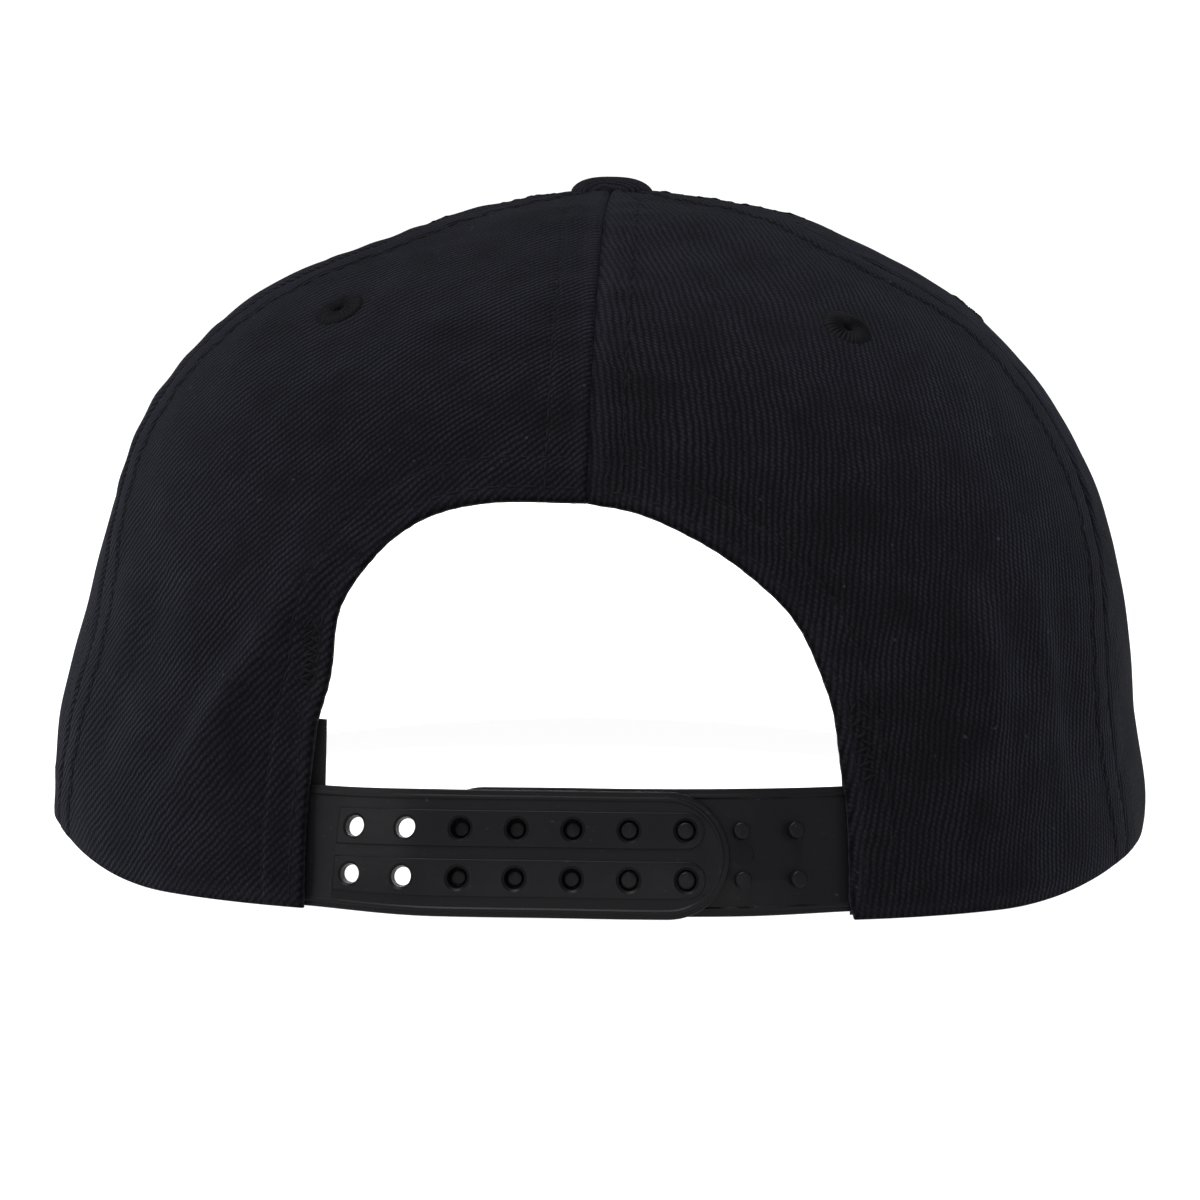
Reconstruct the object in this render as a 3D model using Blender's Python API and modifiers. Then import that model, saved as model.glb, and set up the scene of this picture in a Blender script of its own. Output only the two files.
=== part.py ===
"""Snapback cap: six gores, covered button, sewn eyelets, flat peak, sweatband and two moulded straps.

Metres, +Z up. The cap rests on z = 0 with its rear towards -Y and its peak towards +Y.
Left and right are those of somebody who looks at the rear, so right is +X.
"""

import math

import bmesh
import bpy
import numpy as np
from mathutils import Matrix, Vector

MM = 0.001

# Crown: the rim's plan, the height, and the cloth
RIM_HALF_WIDTH = 93.2 * MM
RIM_REAR = 94.4 * MM
RIM_FRONT = 92.0 * MM
RIM_SQUARENESS_REAR = 2.64
RIM_SQUARENESS_FRONT = 2.2
RIM_ROUNDING = 0.6
CROWN_HEIGHT = 111.0 * MM
CROWN_LEAN = 1.5 * MM
CLOTH = 1.8 * MM
SEAM_GAP = 0.35 * MM
CLEARANCE = 0.3 * MM
GORE_DIP = 1.2 * MM
FOLD_HEIGHT = 1.6 * MM
TOP_HOLE_RADIUS = 3.0 * MM
SIDE_LIFT = 6.2 * MM

# Rear opening
ARCH_HALF_WIDTH = 42.8 * MM
ARCH_HEIGHT = 63.3 * MM
ARCH_SQUARENESS_LEFT = 3.4
ARCH_SQUARENESS_RIGHT = 2.25

# Peak
PEAK_SPREAD = 0.8 * MM
PEAK_REACH = 68.0 * MM
PEAK_THICKNESS = 3.5 * MM
PEAK_END = 22.0 * MM
PEAK_SQUARENESS = 2.7
PEAK_TILT = math.radians(4.0)
PEAK_ARCH = 8.5 * MM
PEAK_FLOOR_GAP = 0.05 * MM
RIM_TURN = math.radians(34.0)
RIM_SETTLED = math.radians(5.7)

# Sweatband
BAND_HEIGHT = 33.0 * MM
BAND_THICKNESS = 1.2 * MM
BAND_TAB = 2.8 * MM
BAND_GAP = 0.6 * MM

# Button and eyelets
BUTTON_RADIUS = 7.2 * MM
BUTTON_HEIGHT = 3.2 * MM
BUTTON_SHANK_RADIUS = 2.0 * MM
BUTTON_WASHER_RADIUS = 5.0 * MM
BUTTON_WASHER = 0.6 * MM
BUTTON_DOME_ANGLE = math.radians(76.0)
EYELET_RADIUS = 4.2 * MM
EYELET_BORE = 1.1 * MM
EYELET_SLEEVE = 2.2 * MM
EYELET_RISE = 0.65 * MM

# Straps
STRAP_THICKNESS = 1.5 * MM
HOLE_STRAP_HEIGHT = 19.0 * MM
PEG_STRAP_HEIGHT = 19.4 * MM
PEG_STRAP_RISE = 0.35 * MM
STRAP_TUCK = 9.0 * MM
STRAP_BOTTOM = 0.9 * MM
STRAP_SAG = 0.5 * MM
STRAP_BULGE = 1.2 * MM
STRAP_PARTING = 0.9 * MM
STRAP_OUT = 0.5
STRAP_TUCK_START = 0.55
COLUMN_PITCH = 8.75 * MM
ROW_PITCH = 7.3 * MM
LAST_HOLE = 16.6 * MM
TIP_MARGIN = 6.7 * MM
HOLE_RADIUS = 1.8 * MM
PEG_RADIUS = 1.4 * MM
PEG_HEIGHT = 2.0 * MM
PAD_HEIGHT = 5.5 * MM
PAD_RISE = 0.3 * MM
PAD_MARGIN = 2.9 * MM
COLUMNS = 7
FASTENED_COLUMNS = 5

# Share of the crown's height, then the shares of the rim's reach there
PROFILE = (
    # height, rear, left, right, front
    (0.00, 1.000, 1.000, 1.000, 1.000),
    (0.02, 1.000, 1.000, 1.000, 1.000),
    (0.16, 0.969, 0.995, 0.979, 0.998),
    (0.32, 0.931, 0.954, 0.960, 0.990),
    (0.48, 0.893, 0.913, 0.917, 0.965),
    (0.62, 0.834, 0.866, 0.845, 0.925),
    (0.74, 0.743, 0.776, 0.746, 0.860),
    (0.84, 0.605, 0.641, 0.619, 0.760),
    (0.92, 0.436, 0.428, 0.445, 0.590),
    (0.97, 0.296, 0.235, 0.290, 0.390),
    (1.00, 0.000, 0.000, 0.000, 0.000),
)

# Azimuth from the rear in degrees, then the share of SIDE_LIFT that the rim stands above the floor
RIM_RISE = (
    (0.0, 0.0),
    (40.0, 0.0),
    (62.0, 0.60),
    (90.0, 1.0),
)

# Azimuths of the seams in degrees, from the rear seam round by the right
SEAMS = (-180.0, -122.0, -62.0, 0.0, 62.0, 122.0, 180.0)
GORES = ("front_panel_left", "side_panel_left", "rear_panel_left",
         "rear_panel_right", "side_panel_right", "front_panel_right")

# Soft folds: azimuth and height share of both ends, width as a share of the rim's half width,
# height as a share of FOLD_HEIGHT
FOLDS = (
    # azimuth, share, azimuth, share, width, height
    (-27.0, 0.55, -40.0, 0.11, 0.085, 1.0),
    (-49.0, 0.42, -55.0, 0.10, 0.070, -0.6),
    (40.0, 0.42, 38.0, 0.12, 0.065, 0.7),
    (46.0, 0.30, 44.5, 0.11, 0.045, 0.6),
    (53.0, 0.45, 51.5, 0.16, 0.055, -0.5),
)

# Eyelets: name, azimuth in degrees, height share
EYELETS = (
    ("eyelet_rear_left", -43.0, 0.815),
    ("eyelet_rear_right", 38.0, 0.800),
    ("eyelet_side_left", -92.0, 0.810),
    ("eyelet_side_right", 92.0, 0.810),
    ("eyelet_front_left", -151.0, 0.830),
    ("eyelet_front_right", 151.0, 0.830),
)

# Base colour, roughness and metallic value of each material
BLACK_TWILL = ("black_twill", (0.014, 0.014, 0.018), 0.9, 0.0)
BAND_CLOTH = ("band_cloth", (0.62, 0.61, 0.58), 0.9, 0.0)
STRAP_PLASTIC = ("strap_plastic", (0.020, 0.020, 0.022), 0.5, 0.0)

# The peak is a little wider than the crown
PEAK_HALF_WIDTH = RIM_HALF_WIDTH + PEAK_SPREAD

# The peak's front sets how far the crown's axis stands behind the origin
FRONT_REACH = RIM_FRONT + PEAK_REACH
REAR_REACH = RIM_REAR + STRAP_BULGE + PAD_RISE
AXIS_Y = (REAR_REACH - FRONT_REACH) / 2


def ease(value, low, high):
    """Smooth step from 0 at low to 1 at high."""
    share = np.clip((value - low) / (high - low), 0.0, 1.0)
    return share * share * (3 - 2 * share)


def curve_through(knots, values, at):
    """Smooth curve through the values at the knots, with no overshoot."""
    knots = np.asarray(knots, dtype=float)
    values = np.asarray(values, dtype=float)
    gaps = np.diff(knots)[:, None]
    slopes = np.diff(values, axis=0) / gaps
    tangents = np.empty_like(values)
    tangents[0], tangents[-1] = slopes[0], slopes[-1]
    turning = slopes[1:] * slopes[:-1] <= 0
    tangents[1:-1] = np.where(turning, 0.0, (slopes[1:] + slopes[:-1]) / 2)
    index = np.clip(np.searchsorted(knots, at, side="right") - 1, 0, len(knots) - 2)
    gap = gaps[index]
    u = (np.asarray(at)[..., None] - knots[index][..., None]) / gap
    start = (2 * u**3 - 3 * u**2 + 1) * values[index] + (u**3 - 2 * u**2 + u) * gap * tangents[index]
    end = (3 * u**2 - 2 * u**3) * values[index + 1] + (u**3 - u**2) * gap * tangents[index + 1]
    return start + end


def bisect(rule, low, high):
    """Where the rising rule crosses zero."""
    for _ in range(50):
        middle = (low + high) / 2
        if rule(middle) < 0:
            low = middle
        else:
            high = middle
    return (low + high) / 2


# Crown surface

HEM_TOP = PROFILE[1][0]
ROW_GAP = (1.0 - HEM_TOP) / (len(PROFILE) - 2)
PROFILE_KNOTS = np.concatenate([[0.0], HEM_TOP + ROW_GAP * np.arange(len(PROFILE))])
PAST_TOP = np.array(PROFILE[-2]) * (1, -1, -1, -1, -1)
PROFILE_TABLE = np.vstack([PROFILE, PAST_TOP])


def profile_at(row):
    """Height share and the shares of reach at a row; a row past the top keeps the top level."""
    return curve_through(PROFILE_KNOTS, PROFILE_TABLE, row)


def rim_reach(azimuth, height=0.0):
    """Distance from the axis to the rim's plan, which grows rounder above the hem."""
    sine, cosine = np.abs(np.sin(azimuth)), np.cos(azimuth)
    at_rear = cosine > 0
    left_over = np.clip((1 - height) / (1 - HEM_TOP), 0, 1)
    squareness_rear = 2 + (RIM_SQUARENESS_REAR - 2) * left_over ** RIM_ROUNDING
    squareness = np.where(at_rear, squareness_rear, RIM_SQUARENESS_FRONT)
    reach = np.where(at_rear, RIM_REAR, RIM_FRONT)
    sides = (sine / RIM_HALF_WIDTH) ** squareness
    ends = (np.abs(cosine) / reach) ** squareness
    return (sides + ends) ** (-1 / squareness)


def peak_outline(angle):
    """The peak's outer edge in plan; the angle is 0 at the front and a right angle at the ends."""
    power = 2 / PEAK_SQUARENESS
    x = PEAK_HALF_WIDTH * np.sign(np.sin(angle)) * np.abs(np.sin(angle)) ** power
    y = PEAK_END + (FRONT_REACH - PEAK_END) * np.abs(np.cos(angle)) ** power
    return x, y


def peak_fall(x, y):
    """How far the peak's top has fallen from its height on the crown's axis."""
    return math.tan(PEAK_TILT) * y + PEAK_ARCH * (x / PEAK_HALF_WIDTH) ** 2


PEAK_LEVEL = (PEAK_THICKNESS + PEAK_FLOOR_GAP
              + peak_fall(*peak_outline(np.linspace(-math.pi / 2, math.pi / 2, 181))).max())
PEAK_START = math.pi / 2 + math.atan2(PEAK_END, RIM_HALF_WIDTH)


def peak_top(x, y):
    """Height of the peak's top face, whose corners lie just above the floor."""
    return PEAK_LEVEL - peak_fall(x, y)


def rim_height(azimuth):
    """Height of the rim: on the floor at the rear, on the peak at the front."""
    turn = np.abs(azimuth)
    rise = np.array(RIM_RISE)
    rear = curve_through(np.radians(rise[:, 0]), rise[:, 1:], np.minimum(turn, math.pi / 2))[..., 0]
    inner = rim_reach(azimuth) - CLOTH
    front = peak_top(inner * np.sin(azimuth), -inner * np.cos(azimuth)) + CLEARANCE
    blend = ease(turn, PEAK_START - RIM_TURN, PEAK_START - RIM_SETTLED)
    return (1 - blend) * SIDE_LIFT * rear + blend * front


def gore_share(azimuth):
    """Where an azimuth lies between its two seams, from 0 to 1."""
    seams = np.radians(SEAMS)
    index = np.clip(np.searchsorted(seams, azimuth, side="right") - 1, 0, len(SEAMS) - 2)
    return (azimuth - seams[index]) / (seams[index + 1] - seams[index])


def fold_rise(azimuth, height, reach):
    """How far the soft folds lift the cloth."""
    total = np.zeros(np.broadcast(azimuth, height).shape)
    for azimuth_a, share_a, azimuth_b, share_b, width, rise in FOLDS:
        along = (share_a - height) / (share_a - share_b)
        middle = math.radians(azimuth_a) + np.clip(along, 0, 1) * math.radians(azimuth_b - azimuth_a)
        across = (azimuth - middle) * reach / (width * RIM_HALF_WIDTH)
        ends = ease(along, -0.2, 0.25) * (1 - ease(along, 0.75, 1.15))
        total = total + rise * FOLD_HEIGHT * np.exp(-across**2) * ends
    return total * ease(height, HEM_TOP, 4 * HEM_TOP)


def crown_point(azimuth, row):
    """Point of the crown's outer face. The row is 0 at the rim and 1 at the top."""
    azimuth, row = np.broadcast_arrays(np.asarray(azimuth, float), np.asarray(row, float))
    height, rear, left, right, front = np.moveaxis(profile_at(row), -1, 0)
    sine, cosine = np.sin(azimuth), np.cos(azimuth)
    ends = np.where(cosine > 0, rear, front)
    sides = np.where(sine > 0, right, left)
    reach = rim_reach(azimuth, height) * (cosine**2 * ends + sine**2 * sides)
    dip = GORE_DIP * np.sin(math.pi * gore_share(azimuth)) * ease(height, 0.3, 0.8)
    reach = reach + (fold_rise(azimuth, height, reach) - dip) * ease(reach, 0, RIM_HALF_WIDTH / 3)
    base = rim_height(azimuth)
    x = reach * sine + CROWN_LEAN * ease(height, HEM_TOP, 1.0)
    y = AXIS_Y - reach * cosine
    return np.stack([x, y, base + height * (CROWN_HEIGHT - base)], axis=-1)


def crown_normal(azimuth, row, step=1e-4):
    """Outward direction of the crown's outer face."""
    across = crown_point(azimuth + step, row) - crown_point(azimuth - step, row)
    up = crown_point(azimuth, np.minimum(row + step, 1)) - crown_point(azimuth, np.maximum(row - step, 0))
    normal = np.cross(across, up)
    return normal / np.linalg.norm(normal, axis=-1, keepdims=True)


def row_at(height_share):
    """The row at which the crown has this share of its height."""
    rows = np.linspace(0, 1, 2001)
    return np.interp(height_share, profile_at(rows)[:, 0], rows)


# Scene helpers

def new_collection(name):
    collection = bpy.data.collections.new(name)
    bpy.context.scene.collection.children.link(collection)
    return collection


def material(name, colour, roughness, metallic):
    """A Principled material, made once for each name."""
    made = bpy.data.materials.get(name)
    if made is None:
        made = bpy.data.materials.new(name)
        made.use_nodes = True
        shader = made.node_tree.nodes["Principled BSDF"]
        shader.inputs["Base Color"].default_value = (*colour, 1.0)
        shader.inputs["Roughness"].default_value = roughness
        shader.inputs["Metallic"].default_value = metallic
    return made


def add_object(name, mesh, collection, look=None):
    """Link a mesh as a named object and shade it smooth but for its sharp edges."""
    made = bpy.data.objects.new(name, mesh)
    collection.objects.link(made)
    if look is not None:
        mesh.materials.append(material(*look))
        mesh.shade_smooth()
        mesh.set_sharp_from_angle(angle=math.radians(40))
    return made


def mesh_from(body, name):
    """Turn a bmesh into a mesh and free it."""
    mesh = bpy.data.meshes.new(name)
    body.to_mesh(mesh)
    body.free()
    return mesh


def wrapped_grid(name, columns, rows, place):
    """A grid whose points are moved to place(u, v), with u and v from 0 to 1."""
    body = bmesh.new()
    bmesh.ops.create_grid(body, x_segments=columns, y_segments=rows, size=0.5)
    flat = np.array([vertex.co[:2] for vertex in body.verts]) + 0.5
    placed = place(flat[:, 0], flat[:, 1])
    for vertex, point in zip(body.verts, placed):
        vertex.co = point
    return mesh_from(body, name)


def solidify(target, thickness):
    """Give an open surface a wall behind its outer face."""
    wall = target.modifiers.new("wall", "SOLIDIFY")
    wall.thickness = thickness
    wall.offset = -1
    wall.use_even_offset = True


def cut(target, cutter):
    """Take the cutter's body out of the target."""
    boolean = target.modifiers.new("cut_" + cutter.name, "BOOLEAN")
    boolean.operation = "DIFFERENCE"
    boolean.solver = "EXACT"
    boolean.object = cutter


def add_cutter(name, mesh):
    made = add_object(name, mesh, CUTTERS)
    made.hide_render = True
    made.display_type = "WIRE"
    return made


def flat_body(name, outline, thickness):
    """A flat outline given a thickness, as a mesh: the outline's x and y become x and z."""
    curve = bpy.data.curves.new(name, "CURVE")
    curve.dimensions = "2D"
    curve.fill_mode = "BOTH"
    curve.extrude = thickness / 2
    spline = curve.splines.new("POLY")
    spline.points.add(len(outline) - 1)
    for point, (x, y) in zip(spline.points, outline):
        point.co = (x, y, 0, 1)
    spline.use_cyclic_u = True
    holder = bpy.data.objects.new(name, curve)
    bpy.context.scene.collection.objects.link(holder)
    bpy.context.view_layer.update()
    mesh = bpy.data.meshes.new_from_object(holder.evaluated_get(bpy.context.evaluated_depsgraph_get()))
    bpy.data.objects.remove(holder)
    body = bmesh.new()
    body.from_mesh(mesh)
    bpy.data.meshes.remove(mesh)
    bmesh.ops.remove_doubles(body, verts=body.verts, dist=0.001 * MM)
    bmesh.ops.rotate(body, verts=body.verts, matrix=Matrix.Rotation(math.pi / 2, 3, "X"))
    bmesh.ops.recalc_face_normals(body, faces=body.faces)
    return body


def turned(name, profile, steps, collection, look):
    """Turn a profile, which runs down its outer side, once round the Z axis."""
    mesh = bpy.data.meshes.new(name)
    closed = profile[0][0] > 0
    count = len(profile)
    edges = [(index, (index + 1) % count) for index in range(count if closed else count - 1)]
    mesh.from_pydata([(radius, 0, height) for radius, height in profile], edges, [])
    made = add_object(name, mesh, collection, look)
    screw = made.modifiers.new("turn", "SCREW")
    screw.steps = steps
    screw.render_steps = steps
    screw.use_merge_vertices = True
    screw.merge_threshold = 0.01 * MM
    return made


# Crown pieces

def row_at_radius(azimuth, radius):
    """The row near the top at which the crown's face is this far from the button's axis."""
    def short_of(row):
        x, y, _ = crown_point(azimuth, row)
        return radius - math.hypot(x - CROWN_LEAN, y - AXIS_Y)
    return bisect(short_of, 0.5, 1.0)


def make_gore(index, columns, rows):
    """One gore of the crown, half a seam's gap short of each seam."""
    low, high = np.radians(SEAMS[index]), np.radians(SEAMS[index + 1])
    last_row = row_at_radius((low + high) / 2, TOP_HOLE_RADIUS)
    hem_rows = 1

    def place(u, v):
        step = np.rint(v * rows)
        above = PROFILE_KNOTS[1] + (last_row - PROFILE_KNOTS[1]) * (step - hem_rows) / (rows - hem_rows)
        row = np.where(step < hem_rows, 0.0, above)
        middle = crown_point((low + high) / 2, row)
        reach = np.hypot(middle[:, 0], middle[:, 1] - AXIS_Y)
        inset = SEAM_GAP / 2 / reach
        return crown_point(low + inset + u * (high - low - 2 * inset), row)

    mesh = wrapped_grid(GORES[index], columns, rows, place)
    gore = add_object(GORES[index], mesh, PARTS, BLACK_TWILL)
    solidify(gore, CLOTH)
    return gore


def arch_outline():
    """The rear opening in front view, run well below the rim."""
    outline = [(-ARCH_HALF_WIDTH, -ARCH_HEIGHT)]
    for angle in np.linspace(0, math.pi, 41):
        across, up = math.cos(angle), math.sin(angle)
        squareness = ARCH_SQUARENESS_LEFT if across > 0 else ARCH_SQUARENESS_RIGHT
        x = -math.copysign(abs(across) ** (2 / squareness), across) * ARCH_HALF_WIDTH
        outline.append((x, up ** (2 / squareness) * ARCH_HEIGHT))
    outline.append((ARCH_HALF_WIDTH, -ARCH_HEIGHT))
    return outline


def arch_cutter():
    """A bar with the opening's outline that passes through the rear wall only."""
    body = flat_body("arch_cutter", arch_outline(), RIM_REAR)
    bmesh.ops.translate(body, verts=body.verts, vec=(0, AXIS_Y - RIM_REAR, 0))
    return add_cutter("arch_cutter", mesh_from(body, "arch_cutter"))


def eyelet_frame(azimuth, share):
    """Placing matrix of an eyelet: Z along the cloth's outward direction."""
    row = row_at(share)
    point = Vector(crown_point(azimuth, row))
    normal = Vector(crown_normal(azimuth, row))
    return Matrix.Translation(point) @ normal.to_track_quat("Z", "Y").to_matrix().to_4x4()


def make_eyelet(name, azimuth, share, gores):
    """A sewn eyelet: a rim of thread on the cloth and a sleeve through it."""
    frame = eyelet_frame(azimuth, share)
    body = bmesh.new()
    hole_radius = EYELET_SLEEVE + CLEARANCE
    bmesh.ops.create_cone(body, cap_ends=True, segments=12, radius1=hole_radius, radius2=hole_radius,
                          depth=6 * CLOTH)
    cutter = add_cutter("cutter_" + name, mesh_from(body, "cutter_" + name))
    cutter.matrix_world = frame
    index = np.searchsorted(np.radians(SEAMS), azimuth) - 1
    cut(gores[GORES[index]], cutter)
    face = CLEARANCE
    profile = (
        (EYELET_BORE, face + EYELET_RISE / 2),
        ((EYELET_BORE + EYELET_RADIUS) / 2, face + EYELET_RISE),
        (EYELET_RADIUS, face + EYELET_RISE / 3),
        (EYELET_RADIUS, face),
        (EYELET_SLEEVE, face),
        (EYELET_SLEEVE, -CLOTH),
        (EYELET_BORE, -CLOTH),
    )
    eyelet = turned(name, profile, 14, PARTS, BLACK_TWILL)
    eyelet.matrix_world = frame


def make_button():
    """The covered button, with its shank through the hole and a washer under the gores."""
    face = CLEARANCE
    back = -CLOTH - CLEARANCE
    drop = CROWN_HEIGHT - crown_point(0.0, row_at_radius(0.0, BUTTON_RADIUS))[2]
    dome = [(BUTTON_RADIUS * math.sin(angle), face + BUTTON_HEIGHT * math.cos(angle))
            for angle in np.linspace(0, BUTTON_DOME_ANGLE, 6)]
    profile = dome + [
        (BUTTON_RADIUS, face - drop),
        (BUTTON_SHANK_RADIUS, face),
        (BUTTON_SHANK_RADIUS, back),
        (BUTTON_WASHER_RADIUS, back - BUTTON_WASHER / 2),
        (BUTTON_WASHER_RADIUS, back - 1.5 * BUTTON_WASHER),
        (0, back - 1.5 * BUTTON_WASHER),
    ]
    button = turned("button", profile, 20, PARTS, BLACK_TWILL)
    button.location = crown_point(0.0, 1.0)


def make_crown():
    gores = {}
    for index, name in enumerate(GORES):
        at_rear = name.startswith("rear")
        gores[name] = make_gore(index, 16 if at_rear else 10, 15 if at_rear else 11)
    opening = arch_cutter()
    cut(gores["rear_panel_left"], opening)
    cut(gores["rear_panel_right"], opening)
    for name, azimuth, share in EYELETS:
        make_eyelet(name, math.radians(azimuth), share, gores)
    make_button()


# Peak

def make_peak():
    """The peak: from under the crown's front rim out to its own outline."""
    def place(u, v):
        turn = PEAK_START + (2 * math.pi - 2 * PEAK_START) * u
        reach = rim_reach(turn) - CLOTH
        inner_x, inner_y = reach * np.sin(turn), -reach * np.cos(turn)
        outer_x, outer_y = peak_outline((0.5 - u) * math.pi)
        x = inner_x + (outer_x - inner_x) * v
        y = inner_y + (outer_y - inner_y) * v
        return np.stack([x, y + AXIS_Y, peak_top(x, y)], axis=-1)

    mesh = wrapped_grid("peak", 40, 6, place)
    peak = add_object("peak", mesh, PARTS, BLACK_TWILL)
    mesh.flip_normals()
    solidify(peak, PEAK_THICKNESS)


# Sweatband

def azimuth_at(x, row):
    """Azimuth near the rear at which the crown's face has this x."""
    return bisect(lambda azimuth: crown_point(azimuth, row)[0] - x, -math.pi / 2, math.pi / 2)


def make_sweatband():
    """The band inside the rim, which stands off the cloth where the straps are tucked in."""
    start = azimuth_at(ARCH_HALF_WIDTH + CLEARANCE, 0.0)
    end = azimuth_at(-(ARCH_HALF_WIDTH - BAND_TAB), 0.0) + 2 * math.pi
    tuck = azimuth_at(ARCH_HALF_WIDTH + STRAP_TUCK, 0.0)
    at_cloth = CLOTH + BAND_GAP
    at_strap = at_cloth + STRAP_THICKNESS + CLEARANCE

    def place(u, v):
        turn = start + (end - start) * u
        azimuth = np.where(turn > math.pi, turn - 2 * math.pi, turn)
        base = rim_height(azimuth)
        share = (CLEARANCE + v * (BAND_HEIGHT - CLEARANCE)) / (CROWN_HEIGHT - base)
        row = row_at(share)
        inward = at_strap + (at_cloth - at_strap) * ease(np.abs(azimuth), tuck, 1.5 * tuck)
        return crown_point(azimuth, row) - crown_normal(azimuth, row) * inward[:, None]

    mesh = wrapped_grid("sweatband", 52, 3, place)
    band = add_object("sweatband", mesh, PARTS, BAND_CLOTH)
    solidify(band, BAND_THICKNESS)


# Straps: built flat, with x along the strap, y = 0 on its outer face and z up, then bent

TIP_HOLE_STRAP = LAST_HOLE + TIP_MARGIN
TIP_PEG_STRAP = LAST_HOLE - (FASTENED_COLUMNS - 1) * COLUMN_PITCH - TIP_MARGIN
TUCKED_FACE = -(CLOTH + CLEARANCE)
TOUCHING_FACE = STRAP_BULGE - STRAP_THICKNESS - CLEARANCE


def hole_strap_face(along):
    """How far the outer strap's face stands out from the rim's plan."""
    out = ease(along, -ARCH_HALF_WIDTH, -STRAP_OUT * ARCH_HALF_WIDTH)
    return TUCKED_FACE + (STRAP_BULGE - TUCKED_FACE) * out


def peg_strap_face(along):
    """How far the inner strap's face stands out: it parts from the outer strap towards its tip."""
    parted = STRAP_PARTING * (1 - ease(along, TIP_PEG_STRAP, LAST_HOLE))
    tucked = ease(along, STRAP_TUCK_START * ARCH_HALF_WIDTH, ARCH_HALF_WIDTH)
    return (TOUCHING_FACE - parted) * (1 - tucked) + TUCKED_FACE * tucked


def bend(body, face_rule):
    """Bend a flat strap along the crown's rear, with its outer face where the rule says."""
    azimuths = np.linspace(-math.pi / 2, math.pi / 2, 2001)
    plan = crown_point(azimuths, 0.0)[:, :2]
    lengths = np.concatenate([[0], np.cumsum(np.linalg.norm(np.diff(plan, axis=0), axis=1))])
    lengths -= lengths[len(lengths) // 2]
    flat = np.array([vertex.co[:] for vertex in body.verts])
    along = flat[:, 0]
    azimuth = np.interp(along, lengths, azimuths)
    sag = STRAP_SAG * np.cos(np.clip(along / ARCH_HALF_WIDTH, -1, 1) * math.pi / 2)
    row = row_at((flat[:, 2] + STRAP_BOTTOM + HOLE_STRAP_HEIGHT / 2 - sag) / CROWN_HEIGHT)
    outward = face_rule(along) - flat[:, 1]
    bent = crown_point(azimuth, row) + crown_normal(azimuth, row) * outward[:, None]
    for vertex, point in zip(body.verts, bent):
        vertex.co = point


def round_ended(square_end, round_end, height, rise=0.0, steps=12):
    """Outline of a bar that is square at one end and half round at the other."""
    direction = 1 if round_end > square_end else -1
    radius = height / 2
    centre = round_end - direction * radius
    outline = [(square_end, rise + radius), (square_end, rise - radius)]
    for angle in np.linspace(-math.pi / 2, math.pi / 2, steps + 1):
        outline.append((centre + direction * radius * math.cos(angle), rise + radius * math.sin(angle)))
    return outline


def strap_posts(name, columns, radius, low, high, sides):
    """Round bars through both rows of each column, from depth low to depth high."""
    body = bmesh.new()
    for along in columns:
        for side in (-1, 1):
            place = Matrix.Translation((along, (low + high) / 2, side * ROW_PITCH / 2))
            bmesh.ops.create_cone(body, cap_ends=True, segments=sides, radius1=radius, radius2=radius,
                                  depth=high - low, matrix=place @ Matrix.Rotation(math.pi / 2, 4, "X"))
    return add_cutter(name, mesh_from(body, name))


def finish_strap(name, blank, tools, face_rule):
    """Join or cut the tools, divide the strap along its length and bend it."""
    blank_object = add_cutter(name + "_blank", mesh_from(blank, name + "_blank"))
    for operation, tool in tools:
        boolean = blank_object.modifiers.new(tool.name, "BOOLEAN")
        boolean.operation = operation
        boolean.solver = "EXACT"
        boolean.object = tool
    bpy.context.view_layer.update()
    depsgraph = bpy.context.evaluated_depsgraph_get()
    mesh = bpy.data.meshes.new_from_object(blank_object.evaluated_get(depsgraph))
    for _, tool in tools:
        bpy.data.objects.remove(tool)
    bpy.data.objects.remove(blank_object)
    body = bmesh.new()
    body.from_mesh(mesh)
    ends = [vertex.co.x for vertex in body.verts]
    stations = int((max(ends) - min(ends)) / COLUMN_PITCH * 2)
    for along in np.linspace(min(ends), max(ends), stations + 1)[1:-1]:
        bmesh.ops.bisect_plane(body, geom=body.verts[:] + body.edges[:] + body.faces[:], dist=1e-7,
                               plane_co=(along, 0, 0), plane_no=(1, 0, 0))
    bmesh.ops.triangulate(body, faces=body.faces)
    bend(body, face_rule)
    add_object(name, mesh_from(body, name), PARTS, STRAP_PLASTIC)


def shifted(body, depth):
    """Move a flat body so that its middle lies at this depth behind the strap's outer face."""
    bmesh.ops.translate(body, verts=body.verts, vec=(0, depth, 0))
    return body


def make_hole_strap():
    """The outer strap: two rows of holes, each in a low raised pad."""
    columns = [LAST_HOLE - index * COLUMN_PITCH for index in range(COLUMNS)]
    outline = round_ended(-(ARCH_HALF_WIDTH + STRAP_TUCK), TIP_HOLE_STRAP, HOLE_STRAP_HEIGHT)
    blank = shifted(flat_body("blank", outline, STRAP_THICKNESS), STRAP_THICKNESS / 2)
    tools = []
    for side in (-1, 1):
        pad = round_ended(columns[-1] - PAD_MARGIN, LAST_HOLE + PAD_MARGIN, PAD_HEIGHT,
                          side * ROW_PITCH / 2, 6)
        thickness = PAD_RISE + STRAP_THICKNESS / 2
        body = shifted(flat_body("pad", pad, thickness), (STRAP_THICKNESS / 2 - PAD_RISE) / 2)
        tools.append(("UNION", add_cutter("pad", mesh_from(body, "pad"))))
    holes = strap_posts("holes", columns, HOLE_RADIUS, -STRAP_THICKNESS, 2 * STRAP_THICKNESS, 10)
    tools.append(("DIFFERENCE", holes))
    finish_strap("strap_holes", blank, tools, hole_strap_face)


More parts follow.
